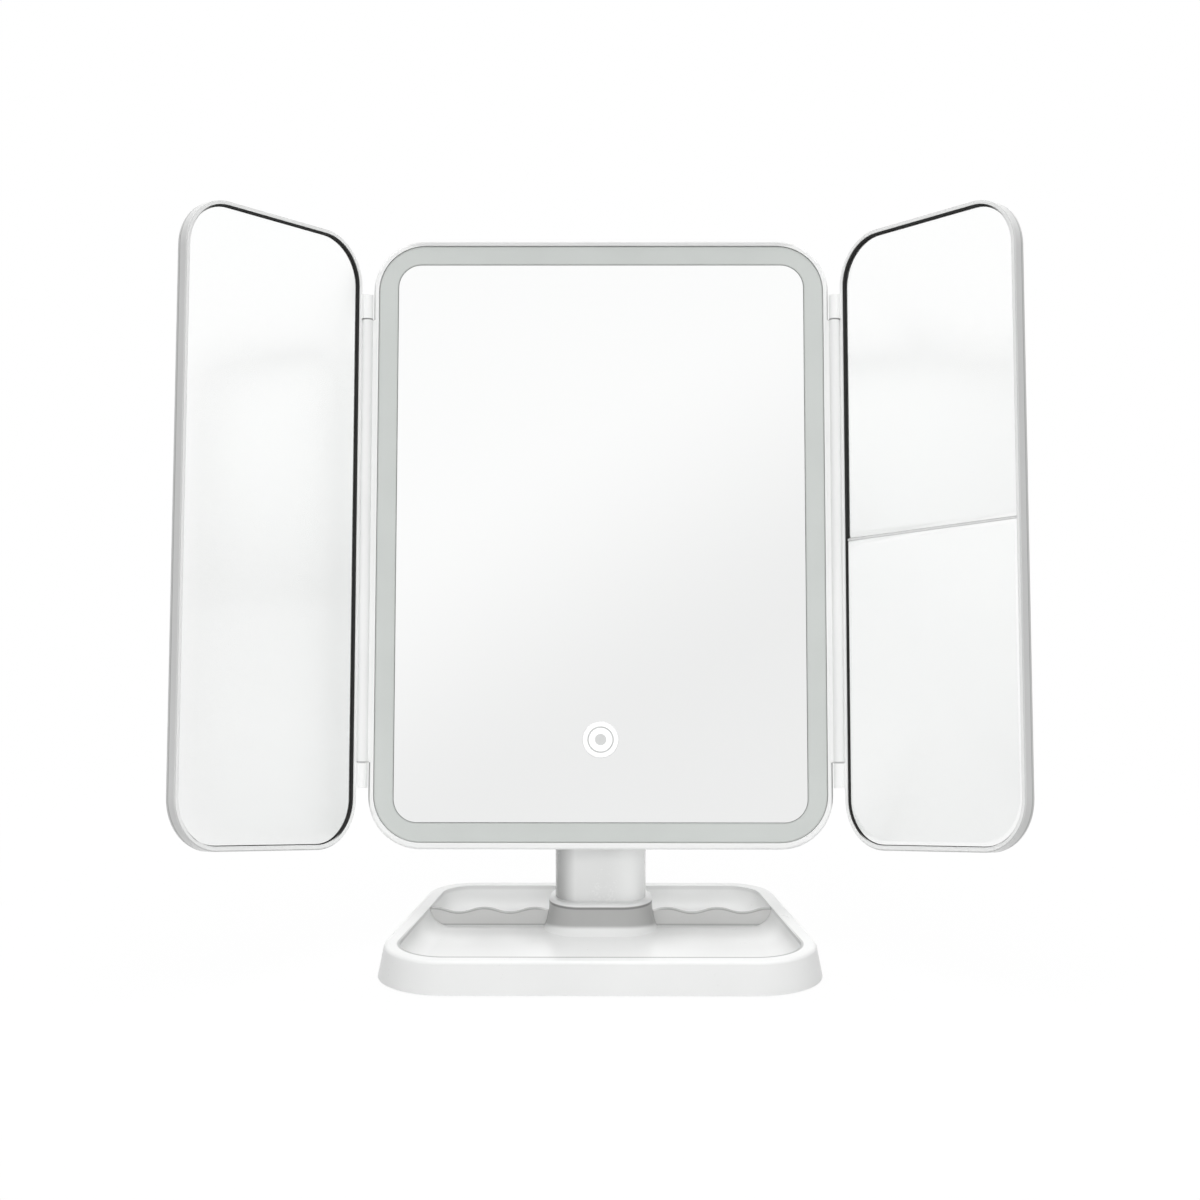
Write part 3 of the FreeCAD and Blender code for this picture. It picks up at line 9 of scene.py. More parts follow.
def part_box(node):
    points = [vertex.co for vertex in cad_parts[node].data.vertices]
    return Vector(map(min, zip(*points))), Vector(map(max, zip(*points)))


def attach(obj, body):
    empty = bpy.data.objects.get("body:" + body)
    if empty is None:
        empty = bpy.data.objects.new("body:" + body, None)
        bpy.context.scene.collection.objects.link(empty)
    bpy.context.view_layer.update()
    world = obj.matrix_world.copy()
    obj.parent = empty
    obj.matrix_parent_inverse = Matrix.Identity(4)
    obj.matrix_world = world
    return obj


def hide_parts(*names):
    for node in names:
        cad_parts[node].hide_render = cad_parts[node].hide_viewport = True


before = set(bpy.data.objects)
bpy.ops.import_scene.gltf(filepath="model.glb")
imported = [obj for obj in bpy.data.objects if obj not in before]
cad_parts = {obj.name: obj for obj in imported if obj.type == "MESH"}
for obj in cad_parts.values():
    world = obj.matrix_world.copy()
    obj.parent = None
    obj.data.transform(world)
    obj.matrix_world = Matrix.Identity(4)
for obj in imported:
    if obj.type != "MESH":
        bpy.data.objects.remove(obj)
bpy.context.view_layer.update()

bl_info = {
    "name": "Trifold Vanity Mirror",
    "version": (1, 0, 0),
    "blender": (4, 5, 0),
    "location": "3D View > Sidebar > Vanity Mirror",
    "description": "Dresses the framed parts of a lighted trifold vanity mirror",
    "category": "Object",
}

MM = 0.001
X, Y, Z = range(3)

# Meshes: how far faces fold before an edge is sharp, what counts as flat, as one place and as one level,
# and how finely corners, edges and turned pieces are cut.
SMOOTH_ANGLE = math.radians(32)
FLAT = 0.999999
SAME_PLACE = 1e-6
SAME_LEVEL = 1e-7
CORNER_SEGMENTS = 14
EDGE_SEGMENTS = 3
TURNED_STEPS = 64
LENS_RINGS = (0.96, 0.9, 0.82, 0.72, 0.6, 0.46, 0.3, 0.14, 0.05)

# The centre panel's own axes: x across, y into its depth, z up its face.
TILT = math.radians(13.3)
PIVOT = Vector((0, 0.019, 0.0578))
PIVOT_IN_PANEL = Vector((0, 0.0204, 0.020))
PANEL = Matrix.Translation(PIVOT) @ Matrix.Rotation(-TILT, 4, "X") @ Matrix.Translation(-PIVOT_IN_PANEL)

# A wing's own axes: x out from its hinge edge, y into its depth, z up its face.
WING_SWING = math.radians(-50)
HINGE = Vector((0.095, -0.0003, 0))
HINGE_EDGE = Vector((0.0025, 0.0003, 0))
MIRRORED = Matrix.Diagonal((-1, 1, 1, 1))
RIGHT_WING = (
    PANEL
    @ Matrix.Translation(HINGE)
    @ Matrix.Rotation(WING_SWING, 4, "Z")
    @ Matrix.Translation(HINGE_EDGE)
)
LEFT_WING = MIRRORED @ RIGHT_WING

# The hinges' joints: how far up the panel's face, how far from the hinge's axis they show, and how soft
# their line is.
LOW_JOINT = 34.4 * MM
HIGH_JOINT = 214.1 * MM
JOINT_REACH = (2.6 * MM, 2.8 * MM)
JOINT_LINE = (0.2 * MM, 0.45 * MM)


def box_in(placement, node):
    """Lowest and highest corner of a framed part, in the axes of the panel that carries it."""
    back = placement.inverted()
    points = [back @ vertex.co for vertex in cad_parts[node].data.vertices]
    lowest = Vector(min(point[axis] for point in points) for axis in range(3))
    highest = Vector(max(point[axis] for point in points) for axis in range(3))
    return lowest, highest


CENTRE_GLASS = box_in(PANEL, "centre_mirror")
BORDER = box_in(PANEL, "light_diffuser")
TOUCH = box_in(PANEL, "touch_key")
WING_GLASS = box_in(LEFT_WING, "left_wing_mirror")
TABLE_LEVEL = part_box("anti_slip_pad")[0].z
NECK_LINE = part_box("neck_rear_shell")[0].y
LAMP_TARGET = Vector((0, 0, 0.12))

# The tray's recess at the rim: half widths at its front and back, half its depth, and its corners.
TRAY_FRONT = 80.7 * MM
TRAY_BACK = 64.8 * MM
TRAY_REACH = 50.1 * MM
FRONT_CORNER = 18.6 * MM
BACK_CORNER = 13.6 * MM

# The neck's foot: half its width and depth at its shoulder, the shoulder's height, how far it drops and
# flares, and the height of the painted shadow line under its ledge.
FOOT_SIDE = 21.0 * MM
FOOT_REACH = 14.5 * MM
FOOT_SHOULDER = 16.6 * MM
FOOT_DROP = 12.2 * MM
FOOT_FLARE = 3.2 * MM
FOOT_LEDGE = 16.0 * MM

# The divider: where each soft edge of its grey, a painted shade, starts and ends. Its thickness and its
# reach are halved.
DIVIDER_THICKNESS = (1.05 * MM, 1.15 * MM)
DIVIDER_REACH = (71 * MM, 71.5 * MM)
DIVIDER_SOLE = (4.9 * MM, 5.3 * MM)
DIVIDER_TOP = (12.5 * MM, 12.6 * MM)

# The divider's wavy top: its middle height, the height of a crest above that, the place of one crest, and
# the length of a wave.
WAVE_MIDDLE = 11.4 * MM
WAVE_HEIGHT = 0.95 * MM
WAVE_CREST = 27.0 * MM
WAVE_LENGTH = 20.8 * MM

# Soft edges of the painted shade, from where each starts to where it ends. On the head's rim: its side, its
# front and its top. On a wing: clear of the hinge, and the front and back of the painted shade on its wall.
# On the neck: its left flank and edge, its front and its right. On a seal, where the frame's white covers
# it: the covered side, the covered bottom, and the face.
RIM_SIDE = (91.7 * MM, 92.1 * MM)
RIM_FRONT = (1.2 * MM, 2.2 * MM)
RIM_TOP = (244.6 * MM, 245.2 * MM)
CLEAR_OF_HINGE = (0.0, 20 * MM)
BAND_FRONT = (0.04 * MM, 0.12 * MM)
BAND_BACK = (4.4 * MM, 5.6 * MM)
NECK_FLANK = (-18.9 * MM, -7.5 * MM)
NECK_EDGE = (-18.3 * MM, -17.8 * MM)
NECK_FRONT = (14 * MM, 21 * MM)
NECK_RIGHT = (2 * MM, 13 * MM)
SEAL_SIDE = (76 * MM, 86 * MM)
SEAL_BOTTOM = (2.5 * MM, 7 * MM)
SEAL_FACE = (0.42 * MM, 0.5 * MM)

# Lines round a wing's wall, by depth: middle, half of the core, and where it ends. The front line is
# painted shade, and the parting line is the dark joint between frame and back.
FRONT_LINE = (0.14 * MM, 0.06 * MM, 0.16 * MM)
PARTING_LINE = (3.9 * MM, 0.1 * MM, 0.4 * MM)

# How each mirror's painted reflection deepens in tone towards a lower corner: where that starts and ends,
# down from the top of the glass, and the share of the colour that is left. The slant turns it from straight
# down to the corner.
CENTRE_TONE = (56 * MM, 197 * MM, 0.87)
LEFT_WING_TONE = (60 * MM, 185 * MM, 0.93)
LOWER_LENS_TONE = (60 * MM, 125 * MM, 0.955)
UPPER_LENS_TONE = (45 * MM, 160 * MM, 0.93)
TONE_SLANT = 0.6

# Marks in the finishes, by size and depth: clouds, smears and etched grain in plastic, brushing and water
# marks on metal, dust on rubber, wipes on glass, fibres in boards and paper, haze on the border, and ink.
FLOW_CLOUDS = 55 * MM
SMEARS = 12 * MM
SHELL_GRAIN = 0.7 * MM
SHELL_DEPTH = 0.006 * MM
SATIN_GRAIN = 0.5 * MM
SATIN_DEPTH = 0.022 * MM
BRUSHING = 0.22 * MM
BRUSH_DEPTH = 0.012 * MM
WATER_MARKS = 6 * MM
DUST = 14 * MM
WIPES = 30 * MM
BOARD_FIBRES = 0.6 * MM
PAPER_FIBRES = 2 * MM
BORDER_HAZE = 35 * MM
BORDER_ETCH = 0.5 * MM
FINE_DEPTH = 0.02 * MM
INK_GRAIN = 0.4 * MM
INK_DEPTH = 0.01 * MM

# The share of a colour that is left where it is fully shaded.
SHADOW = 0.3

# Inner and under mouldings: part, finish, colour, roughness, grain and the grain's depth.
INNER_MOULDINGS = (
    ("magnifier_bar", "split_bar", (0.82, 0.825, 0.82), 0.4, 0.5 * MM, 0.01 * MM),
    ("base_bottom_plate", "underside_white", (0.72, 0.725, 0.72), 0.55, 0.6 * MM, 0.03 * MM),
    ("neck_spine", "natural_nylon", (0.66, 0.65, 0.6), 0.48, 0.6 * MM, 0.02 * MM),
    ("battery_tray", "tray_plastic", (0.3, 0.31, 0.32), 0.5, 0.6 * MM, 0.02 * MM),
    ("tilt_friction_washers", "slide_washer", (0.78, 0.76, 0.68), 0.4, 0.5 * MM, 0.01 * MM),
)

# Metals: finish, colour, roughness, the axis of its brushing, and the parts.
METALS = (
    ("bright_zinc", (0.76, 0.77, 0.79), 0.3, Z, (
        "base_screws", "neck_screws", "head_screws", "tilt_bolt", "tilt_nut", "left_hinge_pins",
        "right_hinge_pins",
    )),
    ("spring_steel", (0.56, 0.56, 0.57), 0.34, X, ("touch_spring", "tilt_spring_washer")),
    ("nickel_plate", (0.8, 0.78, 0.73), 0.24, X, ("battery_contacts",)),
    ("inlet_nickel", (0.74, 0.73, 0.71), 0.26, Y, ("usb_inlet",)),
    ("rolled_steel", (0.4, 0.4, 0.41), 0.5, X, ("base_ballast",)),
)

# Boards and lamps: finish, colour, colour of its flecks, roughness, and the parts.
RESINS = (
    ("lamp_board", (0.8, 0.81, 0.8), (0.72, 0.73, 0.72), 0.4, ("led_board",)),
    ("green_board", (0.02, 0.12, 0.05), (0.04, 0.2, 0.09), 0.36, ("control_board", "usb_board")),
    ("chip_black", (0.02, 0.02, 0.022), (0.05, 0.05, 0.052), 0.5, ("board_components",)),
    ("lamp_resin", (0.82, 0.72, 0.3), (0.9, 0.84, 0.5), 0.3, ("led_chips",)),
)

# Lamps: name, place, side in metres, and the setting that holds its brightness.
LAMPS = (
    ("key_lamp", (0, -0.9, 1.3), 2.0, "key_glow"),
    ("top_lamp", (0, 0, 1.6), 2.0, "top_glow"),
    ("front_lamp", (0, -1.7, 0.4), 1.4, "front_glow"),
    ("back_lamp", (0, 1.6, 0.4), 1.2, "back_glow"),
)

# The floor: its radius, where it fades out, how bright it looks, and how much of its look is that glow.
FLOOR_RADIUS = 1.6
FLOOR_FADE = (0.2, 0.5)
FLOOR_GLOW = 1.03
FLOOR_GLOW_SHARE = 0.92


class MirrorSizes(bpy.types.PropertyGroup):
    """Sizes of the glass, the lit border and the touch mark."""

    glass_corner: FloatProperty(
        name="Centre glass corner",
        description="Corner radius of the centre mirror's glass",
        default=9.4 * MM,
        min=1 * MM,
        unit="LENGTH",
    )
    border_corner: FloatProperty(
        name="Border corner",
        description="Outer corner radius of the frosted border",
        default=18.9 * MM,
        min=1 * MM,
        unit="LENGTH",
    )
    window_corner: FloatProperty(
        name="Window corner",
        description="Corner radius of the border's inner edge",
        default=9.5 * MM,
        min=1 * MM,
        unit="LENGTH",
    )
    wing_corner: FloatProperty(
        name="Wing glass corner",
        description="Corner radius of the side mirrors' glass",
        default=17.9 * MM,
        min=1 * MM,
        unit="LENGTH",
    )
    lens_thickness: FloatProperty(
        name="Lens thickness",
        description="Thickness of the magnifying panes",
        default=1.2 * MM,
        min=0.5 * MM,
        unit="LENGTH",
    )
    lens_rise: FloatProperty(
        name="Lower lens rise",
        description="How far the lower magnifying pane stands forward of the framed glass",
        default=0.5 * MM,
        min=0,
        unit="LENGTH",
    )
    polish: FloatProperty(
        name="Polished edge",
        description="Width of the polished chamfer round each pane",
        default=0.25 * MM,
        min=0.05 * MM,
        unit="LENGTH",
    )
    border_edge: FloatProperty(
        name="Border edge",
        description="Width of the rounded edges of the frosted border",
        default=0.2 * MM,
        min=0.05 * MM,
        unit="LENGTH",
    )
    touch_groove: FloatProperty(
        name="Touch mark groove",
        description="Radius of the fine groove inside the touch mark",
        default=5.0 * MM,
        min=1 * MM,
        unit="LENGTH",
    )
    touch_dot: FloatProperty(
        name="Touch mark dot",
        description="Radius of the grey dot in the middle of the touch mark",
        default=2.3 * MM,
        min=0.5 * MM,
        unit="LENGTH",
    )


class MirrorFinishes(bpy.types.PropertyGroup):
    """Colours of the finishes."""

    shell: FloatVectorProperty(
        name="Moulded white",
        description="Colour of the white moulded shells",
        subtype="COLOR",
        size=3,
        default=(0.89, 0.895, 0.89),
        min=0,
        max=1,
    )
    # The foot's grey stands for painted shade under the head; the divider's grey is drawn from it.
    foot: FloatVectorProperty(
        name="Foot grey",
        description="Colour of the neck's foot on the base, and a little darker than the divider's",
        subtype="COLOR",
        size=3,
        default=(0.455, 0.455, 0.45),
        min=0,
        max=1,
    )
    silver: FloatVectorProperty(
        name="Silvered glass",
        description="Colour that the silvered glass gives back",
        subtype="COLOR",
        size=3,
        default=(0.995, 1.0, 0.997),
        min=0,
        max=1,
    )
    border: FloatVectorProperty(
        name="Frosted border",
        description="Colour of the frosted border when its light is off",
        subtype="COLOR",
        size=3,
        default=(0.59, 0.615, 0.597),
        min=0,
        max=1,
    )
    gasket: FloatVectorProperty(
        name="Gasket",
        description="Colour of the black seal round the side mirrors",
        subtype="COLOR",
        size=3,
        default=(0.02, 0.02, 0.0195),
        min=0,
        max=1,
    )


class StudioSettings(bpy.types.PropertyGroup):
    """Camera, lamps and floor."""

    lens: FloatProperty(
        name="Lens",
        description="Focal length on a 36 mm wide sensor",
        default=61.9,
        min=10,
        unit="CAMERA",
    )
    camera_place: FloatVectorProperty(
        name="Camera place",
        description="Where the camera stands",
        subtype="TRANSLATION",
        size=3,
        default=(0.0033, -0.804, 0.248),
    )
    camera_pitch: FloatProperty(
        name="Camera pitch",
        description="How far the camera looks down",
        default=math.radians(7.5),
        subtype="ANGLE",
    )
    camera_yaw: FloatProperty(
        name="Camera yaw",
        description="How far the camera turns to its left",
        default=math.radians(0.25),
        subtype="ANGLE",
    )
    key_glow: FloatProperty(
        name="Key lamp",
        description="Brightness of the large soft lamp above the front, where 1 is white",
        default=0.45,
        min=0,
    )
    top_glow: FloatProperty(
        name="Top lamp",
        description="Brightness of the large soft lamp overhead, where 1 is white",
        default=2.2,
        min=0,
    )
    front_glow: FloatProperty(
        name="Front lamp",
        description="Brightness of the low soft lamp in front, where 1 is white",
        default=1.95,
        min=0,
    )
    back_glow: FloatProperty(
        name="Back lamp",
        description="Brightness of the low soft lamp behind, where 1 is white",
        default=3.4,
        min=0,
    )
    room_light: FloatProperty(
        name="Room light",
        description="Strength of the even light from all round",
        default=0.13,
        min=0,
    )


class Wire:
    """A node's output, which arithmetic joins to other outputs and to numbers with Math nodes."""

    def __init__(self, finish, source):
        self.finish = finish
        self.source = source

    def maths(self, operation, *values):
        node = self.finish.add("ShaderNodeMath", {"operation": operation}, dict(enumerate(values)))
        return Wire(self.finish, node.outputs[0])

    def __add__(self, other):
        return self.maths("ADD", self, other)

    def __radd__(self, other):
        return self.maths("ADD", other, self)

    def __sub__(self, other):
        return self.maths("SUBTRACT", self, other)

    def __rsub__(self, other):
        return self.maths("SUBTRACT", other, self)

    def __mul__(self, other):
        return self.maths("MULTIPLY", self, other)

    def __rmul__(self, other):
        return self.maths("MULTIPLY", other, self)

    def __truediv__(self, other):
        return self.maths("DIVIDE", self, other)

    def __rtruediv__(self, other):
        return self.maths("DIVIDE", other, self)

    def __abs__(self):
        return self.maths("ABSOLUTE", self)

    def larger(self, other):
        return self.maths("MAXIMUM", self, other)

    def smaller(self, other):
        return self.maths("MINIMUM", self, other)

    def root(self):
        return self.maths("SQRT", self)

    def cosine(self):
        return self.maths("COSINE", self)

    def over(self, level):
        """1 where this is larger than the level, 0 elsewhere."""
        return self.maths("GREATER_THAN", self, level)

    def rise(self, start, end):
        """A smooth step from 0 at start to 1 at end."""
        node = self.finish.add(
            "ShaderNodeMapRange",
            {"interpolation_type": "SMOOTHSTEP"},
            {0: self, 1: start, 2: end, 3: 0.0, 4: 1.0},
        )
        return Wire(self.finish, node.outputs[0])

    def fall(self, start, end):
        """A smooth step from 1 at start to 0 at end."""
        return 1.0 - self.rise(start, end)

    def line(self, middle, core, end):
        """1 within a core on either side of a middle, falling to 0 at an end."""
        return abs(self - middle).fall(core, end)


class Finish:
    """A material, or the world, that is put together from nodes."""

    def __init__(self, owner, output):
        owner.use_nodes = True
        self.owner = owner
        self.tree = owner.node_tree
        self.tree.nodes.clear()
        self.output = self.tree.nodes.new(output)

    def add(self, kind, settings=None, sockets=None):
        """A node of a kind, with its settings first and then the values or links of its sockets."""
        node = self.tree.nodes.new(kind)
        for name, setting in (settings or {}).items():
            setattr(node, name, setting)
        for key, value in (sockets or {}).items():
            self.put(node.inputs[key], value)
        return node

    def put(self, socket, value):
        """Links an output to a socket, or sets the socket's own value."""
        if isinstance(value, Wire):
            value = value.source
        if isinstance(value, bpy.types.NodeSocket):
            self.tree.links.new(value, socket)
        elif socket.type == "RGBA" and len(value) == 3:
            socket.default_value = (*value, 1)
        else:
            socket.default_value = value

    def wire(self, node, name):
        return Wire(self, node.outputs[name])

    def place(self):
        """Object coordinates in metres, in the row's own frame."""
        return self.add("ShaderNodeTexCoord").outputs["Object"]

    def turned(self, placement):
        """Object coordinates in the axes of a tilted or swung panel, mirrored where the panel is."""
        flip = Vector((1, 1, 1))
        if placement.determinant() < 0:
            placement, flip = MIRRORED @ placement, Vector((-1, 1, 1))
        back = placement.inverted()
        return self.add("ShaderNodeMapping", {"vector_type": "POINT"}, {
            "Vector": self.place(),
            "Location": back.to_translation(),
            "Rotation": back.to_euler(),
            "Scale": flip,
        }).outputs[0]

    def axes(self, vector):
        split = self.add("ShaderNodeSeparateXYZ", sockets={0: vector})
        return [Wire(self, output) for output in split.outputs]

    def noise(self, vector, size, detail, roughness=0.5):
        """Noise from 0 to 1 with marks of about the given size in metres."""
        node = self.add(
            "ShaderNodeTexNoise",
            {"noise_dimensions": "3D"},
            {"Vector": vector, "Scale": 1 / size, "Detail": detail, "Roughness": roughness},
        )
        return Wire(self, node.outputs[0])

    def stretched(self, vector, scale):
        return self.add("ShaderNodeMapping", sockets={"Vector": vector, "Scale": scale}).outputs[0]

    def blend(self, share, first, second):
        """A colour between two, by a share from 0 to 1."""
        node = self.add(
            "ShaderNodeMix",
            {"data_type": "RGBA", "blend_type": "MIX"},
            {0: share, 6: first, 7: second},
        )
        return node.outputs[2]

    def bump(self, height, depth, strength):
        """A normal that a height from 0 to 1 pushes out by a depth in metres."""
        node = self.add(
            "ShaderNodeBump", sockets={"Strength": strength, "Distance": depth, "Height": height}
        )
        return node.outputs[0]

    def surface(self, **sockets):
        """The main shader, joined to the output."""
        shader = self.add("ShaderNodeBsdfPrincipled", sockets={
            name.replace("_", " "): value for name, value in sockets.items()
        })
        self.tree.links.new(shader.outputs[0], self.output.inputs[0])
        return self.owner


def finish_of(name):
    return Finish(bpy.data.materials.new(name), "ShaderNodeOutputMaterial")


def tinted(colour, factor):
    return tuple(min(1.0, channel * factor) for channel in colour)


def plastic_marks(made, colour, grain):
    """The marks of moulding: the colour with slow flow clouds in it, faint smears and an etched grain."""
    place = made.place()
    clouds = made.noise(place, FLOW_CLOUDS, 3)
    smears = made.noise(made.stretched(place, (1.0, 1.0, 0.35)), SMEARS, 4, 0.6)
    etching = made.noise(place, grain, 2)
    clouded = made.blend(clouds.rise(0.3, 0.7), tinted(colour, 0.975), tinted(colour, 1.012))
    return clouded, smears, etching


def plastic(made, colour, gloss, smears, etching, grain_depth, coat):
    """The surface of a moulded piece."""
    return made.surface(
        Base_Color=colour,
        Roughness=gloss + (smears - 0.5) * 0.10 + (etching - 0.5) * 0.06,
        Normal=made.bump(etching, grain_depth, 0.5),
        Coat_Weight=coat,
        Coat_Roughness=0.12,
    )


def moulded(name, colour, gloss, grain, grain_depth, coat=0.0, shade=None):
    """Injection-moulded plastic; a shade gives the share of painted shade by which its places are darker."""
    made = finish_of(name)
    clouded, smears, etching = plastic_marks(made, colour, grain)
    if shade:
        clouded = made.blend(shade(made), clouded, tinted(colour, SHADOW))
    return plastic(made, clouded, gloss, smears, etching, grain_depth, coat)


def joint_lines(made):
    """Share of shadow at the hinges' joints, where a barrel meets its knuckles."""
    across, depth, up = made.axes(made.turned(PANEL))
    out, behind = abs(across) - HINGE.x, depth - HINGE.y
    near = (out * out + behind * behind).root().fall(*JOINT_REACH)
    line = abs(up - LOW_JOINT).smaller(abs(up - HIGH_JOINT)).fall(*JOINT_LINE)
    return near * line * 0.75


def head_shade(made):
    """Share of shadow on the head's frame: its joints, the top of its rim and its edge by the knuckles."""
    across, depth, up = made.axes(made.turned(PANEL))
    beside = (LOW_JOINT - up).larger(up - HIGH_JOINT).over(0.0)
    edge = abs(across).rise(*RIM_SIDE) * depth.fall(*RIM_FRONT)
    gap = beside * edge * (0.9 - up.over(HIGH_JOINT) * 0.45)
    return joint_lines(made).larger(gap).larger(up.rise(*RIM_TOP) * 0.25)


def wing_shade(placement):
    """Share of shadow on a wing: its joints, and painted shade round its wall with a dark line at each edge.
    """
    def shade(made):
        across, depth, _ = made.axes(made.turned(placement))
        clear = across.rise(*CLEAR_OF_HINGE)
        band = depth.rise(*BAND_FRONT) * depth.fall(*BAND_BACK) * clear
        front = depth.line(*FRONT_LINE) * clear
        parting = depth.line(*PARTING_LINE)
        return (band * 0.37).larger(front * 0.53).larger(parting * 0.75).larger(joint_lines(made))
    return shade


def column_shade(made):
    """Share of shadow down the front of the neck's left flank, fading towards its right."""
    across, along, _ = made.axes(made.place())
    flank = across.fall(*NECK_FLANK) * 0.82
    edge = across.fall(*NECK_EDGE) * 0.95
    return (flank.larger(edge) * along.fall(*NECK_FRONT)).larger(across.fall(*NECK_RIGHT) * 0.12)


def recess_edge(side, along):
    """Distance outside the edge of the tray's recess: a trapezoid with rounded corners, seen from above."""
    slope = (TRAY_FRONT - TRAY_BACK) / (2 * TRAY_REACH)
    steep = math.hypot(1, slope)
    outside = (side - ((TRAY_FRONT + TRAY_BACK) / 2 - along * slope)) / steep
    back = along.over(0.0)
    corner = FRONT_CORNER + back * (BACK_CORNER - FRONT_CORNER)
    lean = (back * 2.0 - 1.0) * (slope / steep)
    past_side = outside + corner
    past_end = abs(along) - TRAY_REACH + corner
    apart = past_side * past_side + past_end * past_end - lean * past_side * past_end * 2.0
    rounded = (apart / (1.0 - lean * lean)).root()
    in_corner = (past_side - lean * past_end).over(0.0) * (past_end - lean * past_side).over(0.0)
    straight = past_side.larger(past_end)
    return straight + in_corner * (rounded - straight) - corner


def recess_shade(side, along, up):
    """Share of shadow on the tray: the crease round its recess, its front corners, its floor and its rim."""
    edge = recess_edge(side, along)
    inside = 0.0 - edge
    ahead = 0.0 - along
    # The crease is finest at the back, and wider and deeper towards the front lip.
    lip = ahead.rise(-15 * MM, 60 * MM)
    crease = edge.line(0.2 * MM, 0.3 * MM, lip * (0.5 * MM) + 0.8 * MM)
    crease = crease * up.rise(11 * MM, 12 * MM) * (lip * 0.8 + 0.13)
    corners = inside.fall(0.0, 10 * MM) * along.fall(-40 * MM, -24 * MM) * 0.28
    floor = ahead.rise(-3 * MM, 12 * MM) * side.rise(15 * MM, 40 * MM) * 0.15
    rim = up.rise(12.9 * MM, 12.98 * MM) * 0.08
    return crease.larger(corners.larger(floor) * inside.over(0.0)).larger(rim)


def divider_lines(side, up):
    """Share of painted shadow on the divider: darker grey along its sole and its wavy top."""
    sole = up.fall(5.5 * MM, 6.1 * MM) * 0.6
    wave = WAVE_MIDDLE + ((side - WAVE_CREST) * (math.tau / WAVE_LENGTH)).cosine() * WAVE_HEIGHT
    brow = (up - wave).rise(-0.75 * MM, -0.35 * MM) * side.rise(WAVE_CREST - WAVE_LENGTH / 4, WAVE_CREST)
    return sole.larger(brow * 0.75)


def foot_share(side, along, up):
    """Share of the foot's grey, a painted shade. The foot flares as a quarter ellipse, and its grey starts
    higher in front.
    """
    drop = ((FOOT_SHOULDER - up) / FOOT_DROP).larger(0.0).smaller(1.0)
    flare = FOOT_FLARE - (1.0 - drop * drop).root() * FOOT_FLARE
    foot = (side - flare).fall(FOOT_SIDE + 0.1 * MM, FOOT_SIDE + 0.2 * MM)
    behind = abs(along - NECK_LINE) - flare
    foot = foot * behind.fall(FOOT_REACH + 0.1 * MM, FOOT_REACH + 0.2 * MM)
    ahead = (NECK_LINE - along).larger(0.0)
    return foot * (up - ahead * 0.17).rise(4.8 * MM, 6.8 * MM) * up.fall(16.3 * MM, 16.8 * MM)


def base_moulding(white, grey):
    """The base's white plastic, with painted shade in grey on its divider and on the neck's foot, and painted
    shadow in its tray.
    """
    made = finish_of("base_white")
    clouded, smears, etching = plastic_marks(made, white, SHELL_GRAIN)
    across, along, up = made.axes(made.place())
    side = abs(across)
    wall = abs(along - NECK_LINE).fall(*DIVIDER_THICKNESS) * side.fall(*DIVIDER_REACH)
    wall = wall * up.rise(*DIVIDER_SOLE) * up.fall(*DIVIDER_TOP)
    tray = made.blend(recess_shade(side, along, up), clouded, tinted(white, SHADOW))
    # The grey of the divider and of the foot, with their darker lines, is painted shade; the plastic is
    # white.
    divider = made.blend(divider_lines(side, up), tinted(grey, 1.5), tinted(grey, 0.8))
    ledge = up.line(FOOT_LEDGE, 0.25 * MM, 0.7 * MM)
    foot = made.blend(ledge, grey, tinted(grey, 0.55))
    colour = made.blend(foot_share(side, along, up), made.blend(wall, tray, divider), foot)
    return plastic(made, colour, 0.3, smears, etching, SHELL_DEPTH, 0.2)


def plated(name, colour, gloss, brush_axis):
    """Plated or rolled steel: brushed lines, water marks and a few dull specks."""
    made = finish_of(name)
    place = made.place()
    stretch = [1.0, 1.0, 1.0]
    stretch[brush_axis] = 0.06
    lines = made.noise(made.stretched(place, stretch), BRUSHING, 3, 0.7)
    marks = made.noise(place, WATER_MARKS, 3)
    return made.surface(
        Base_Color=made.blend(marks.rise(0.35, 0.75), tinted(colour, 0.86), colour),
        Metallic=1.0,
        Roughness=gloss + (lines - 0.5) * 0.16 + (marks - 0.5) * 0.1,
        Normal=made.bump(lines, BRUSH_DEPTH, 0.4),
    )


def rubbery(name, colour, pebble):
    """Soft rubber or foam: small pebbles, dusty high spots and no shine."""
    made = finish_of(name)
    place = made.place()
    pebbles = made.add(
        "ShaderNodeTexVoronoi", {"feature": "F1"}, {"Vector": place, "Scale": 1 / pebble}
    )
    height = 1.0 - made.wire(pebbles, "Distance")
    dust = made.noise(place, DUST, 3)
    return made.surface(
        Base_Color=made.blend(dust.rise(0.4, 0.8), colour, tinted(colour, 1.35)),
        Roughness=0.78 + (dust - 0.5) * 0.16,
        Normal=made.bump(height, pebble * 0.12, 0.6),
        Specular_IOR_Level=0.3,
    )


def sealing(name, colour, face_colour, placement):
    """Black rubber seal; the frame's white covers its face along the outer side and the bottom."""
    made = finish_of(name)
    across, depth, up = made.axes(made.turned(placement))
    covered = across.rise(*SEAL_SIDE).larger(up.fall(*SEAL_BOTTOM)) * depth.fall(*SEAL_FACE)
    dust = made.noise(made.place(), DUST, 3)
    walls = made.blend(dust.rise(0.4, 0.8), colour, tinted(colour, 1.35))
    return made.surface(
        Base_Color=made.blend(covered, walls, face_colour),
        Roughness=0.7 + (dust - 0.5) * 0.16,
        Specular_IOR_Level=0.3,
    )


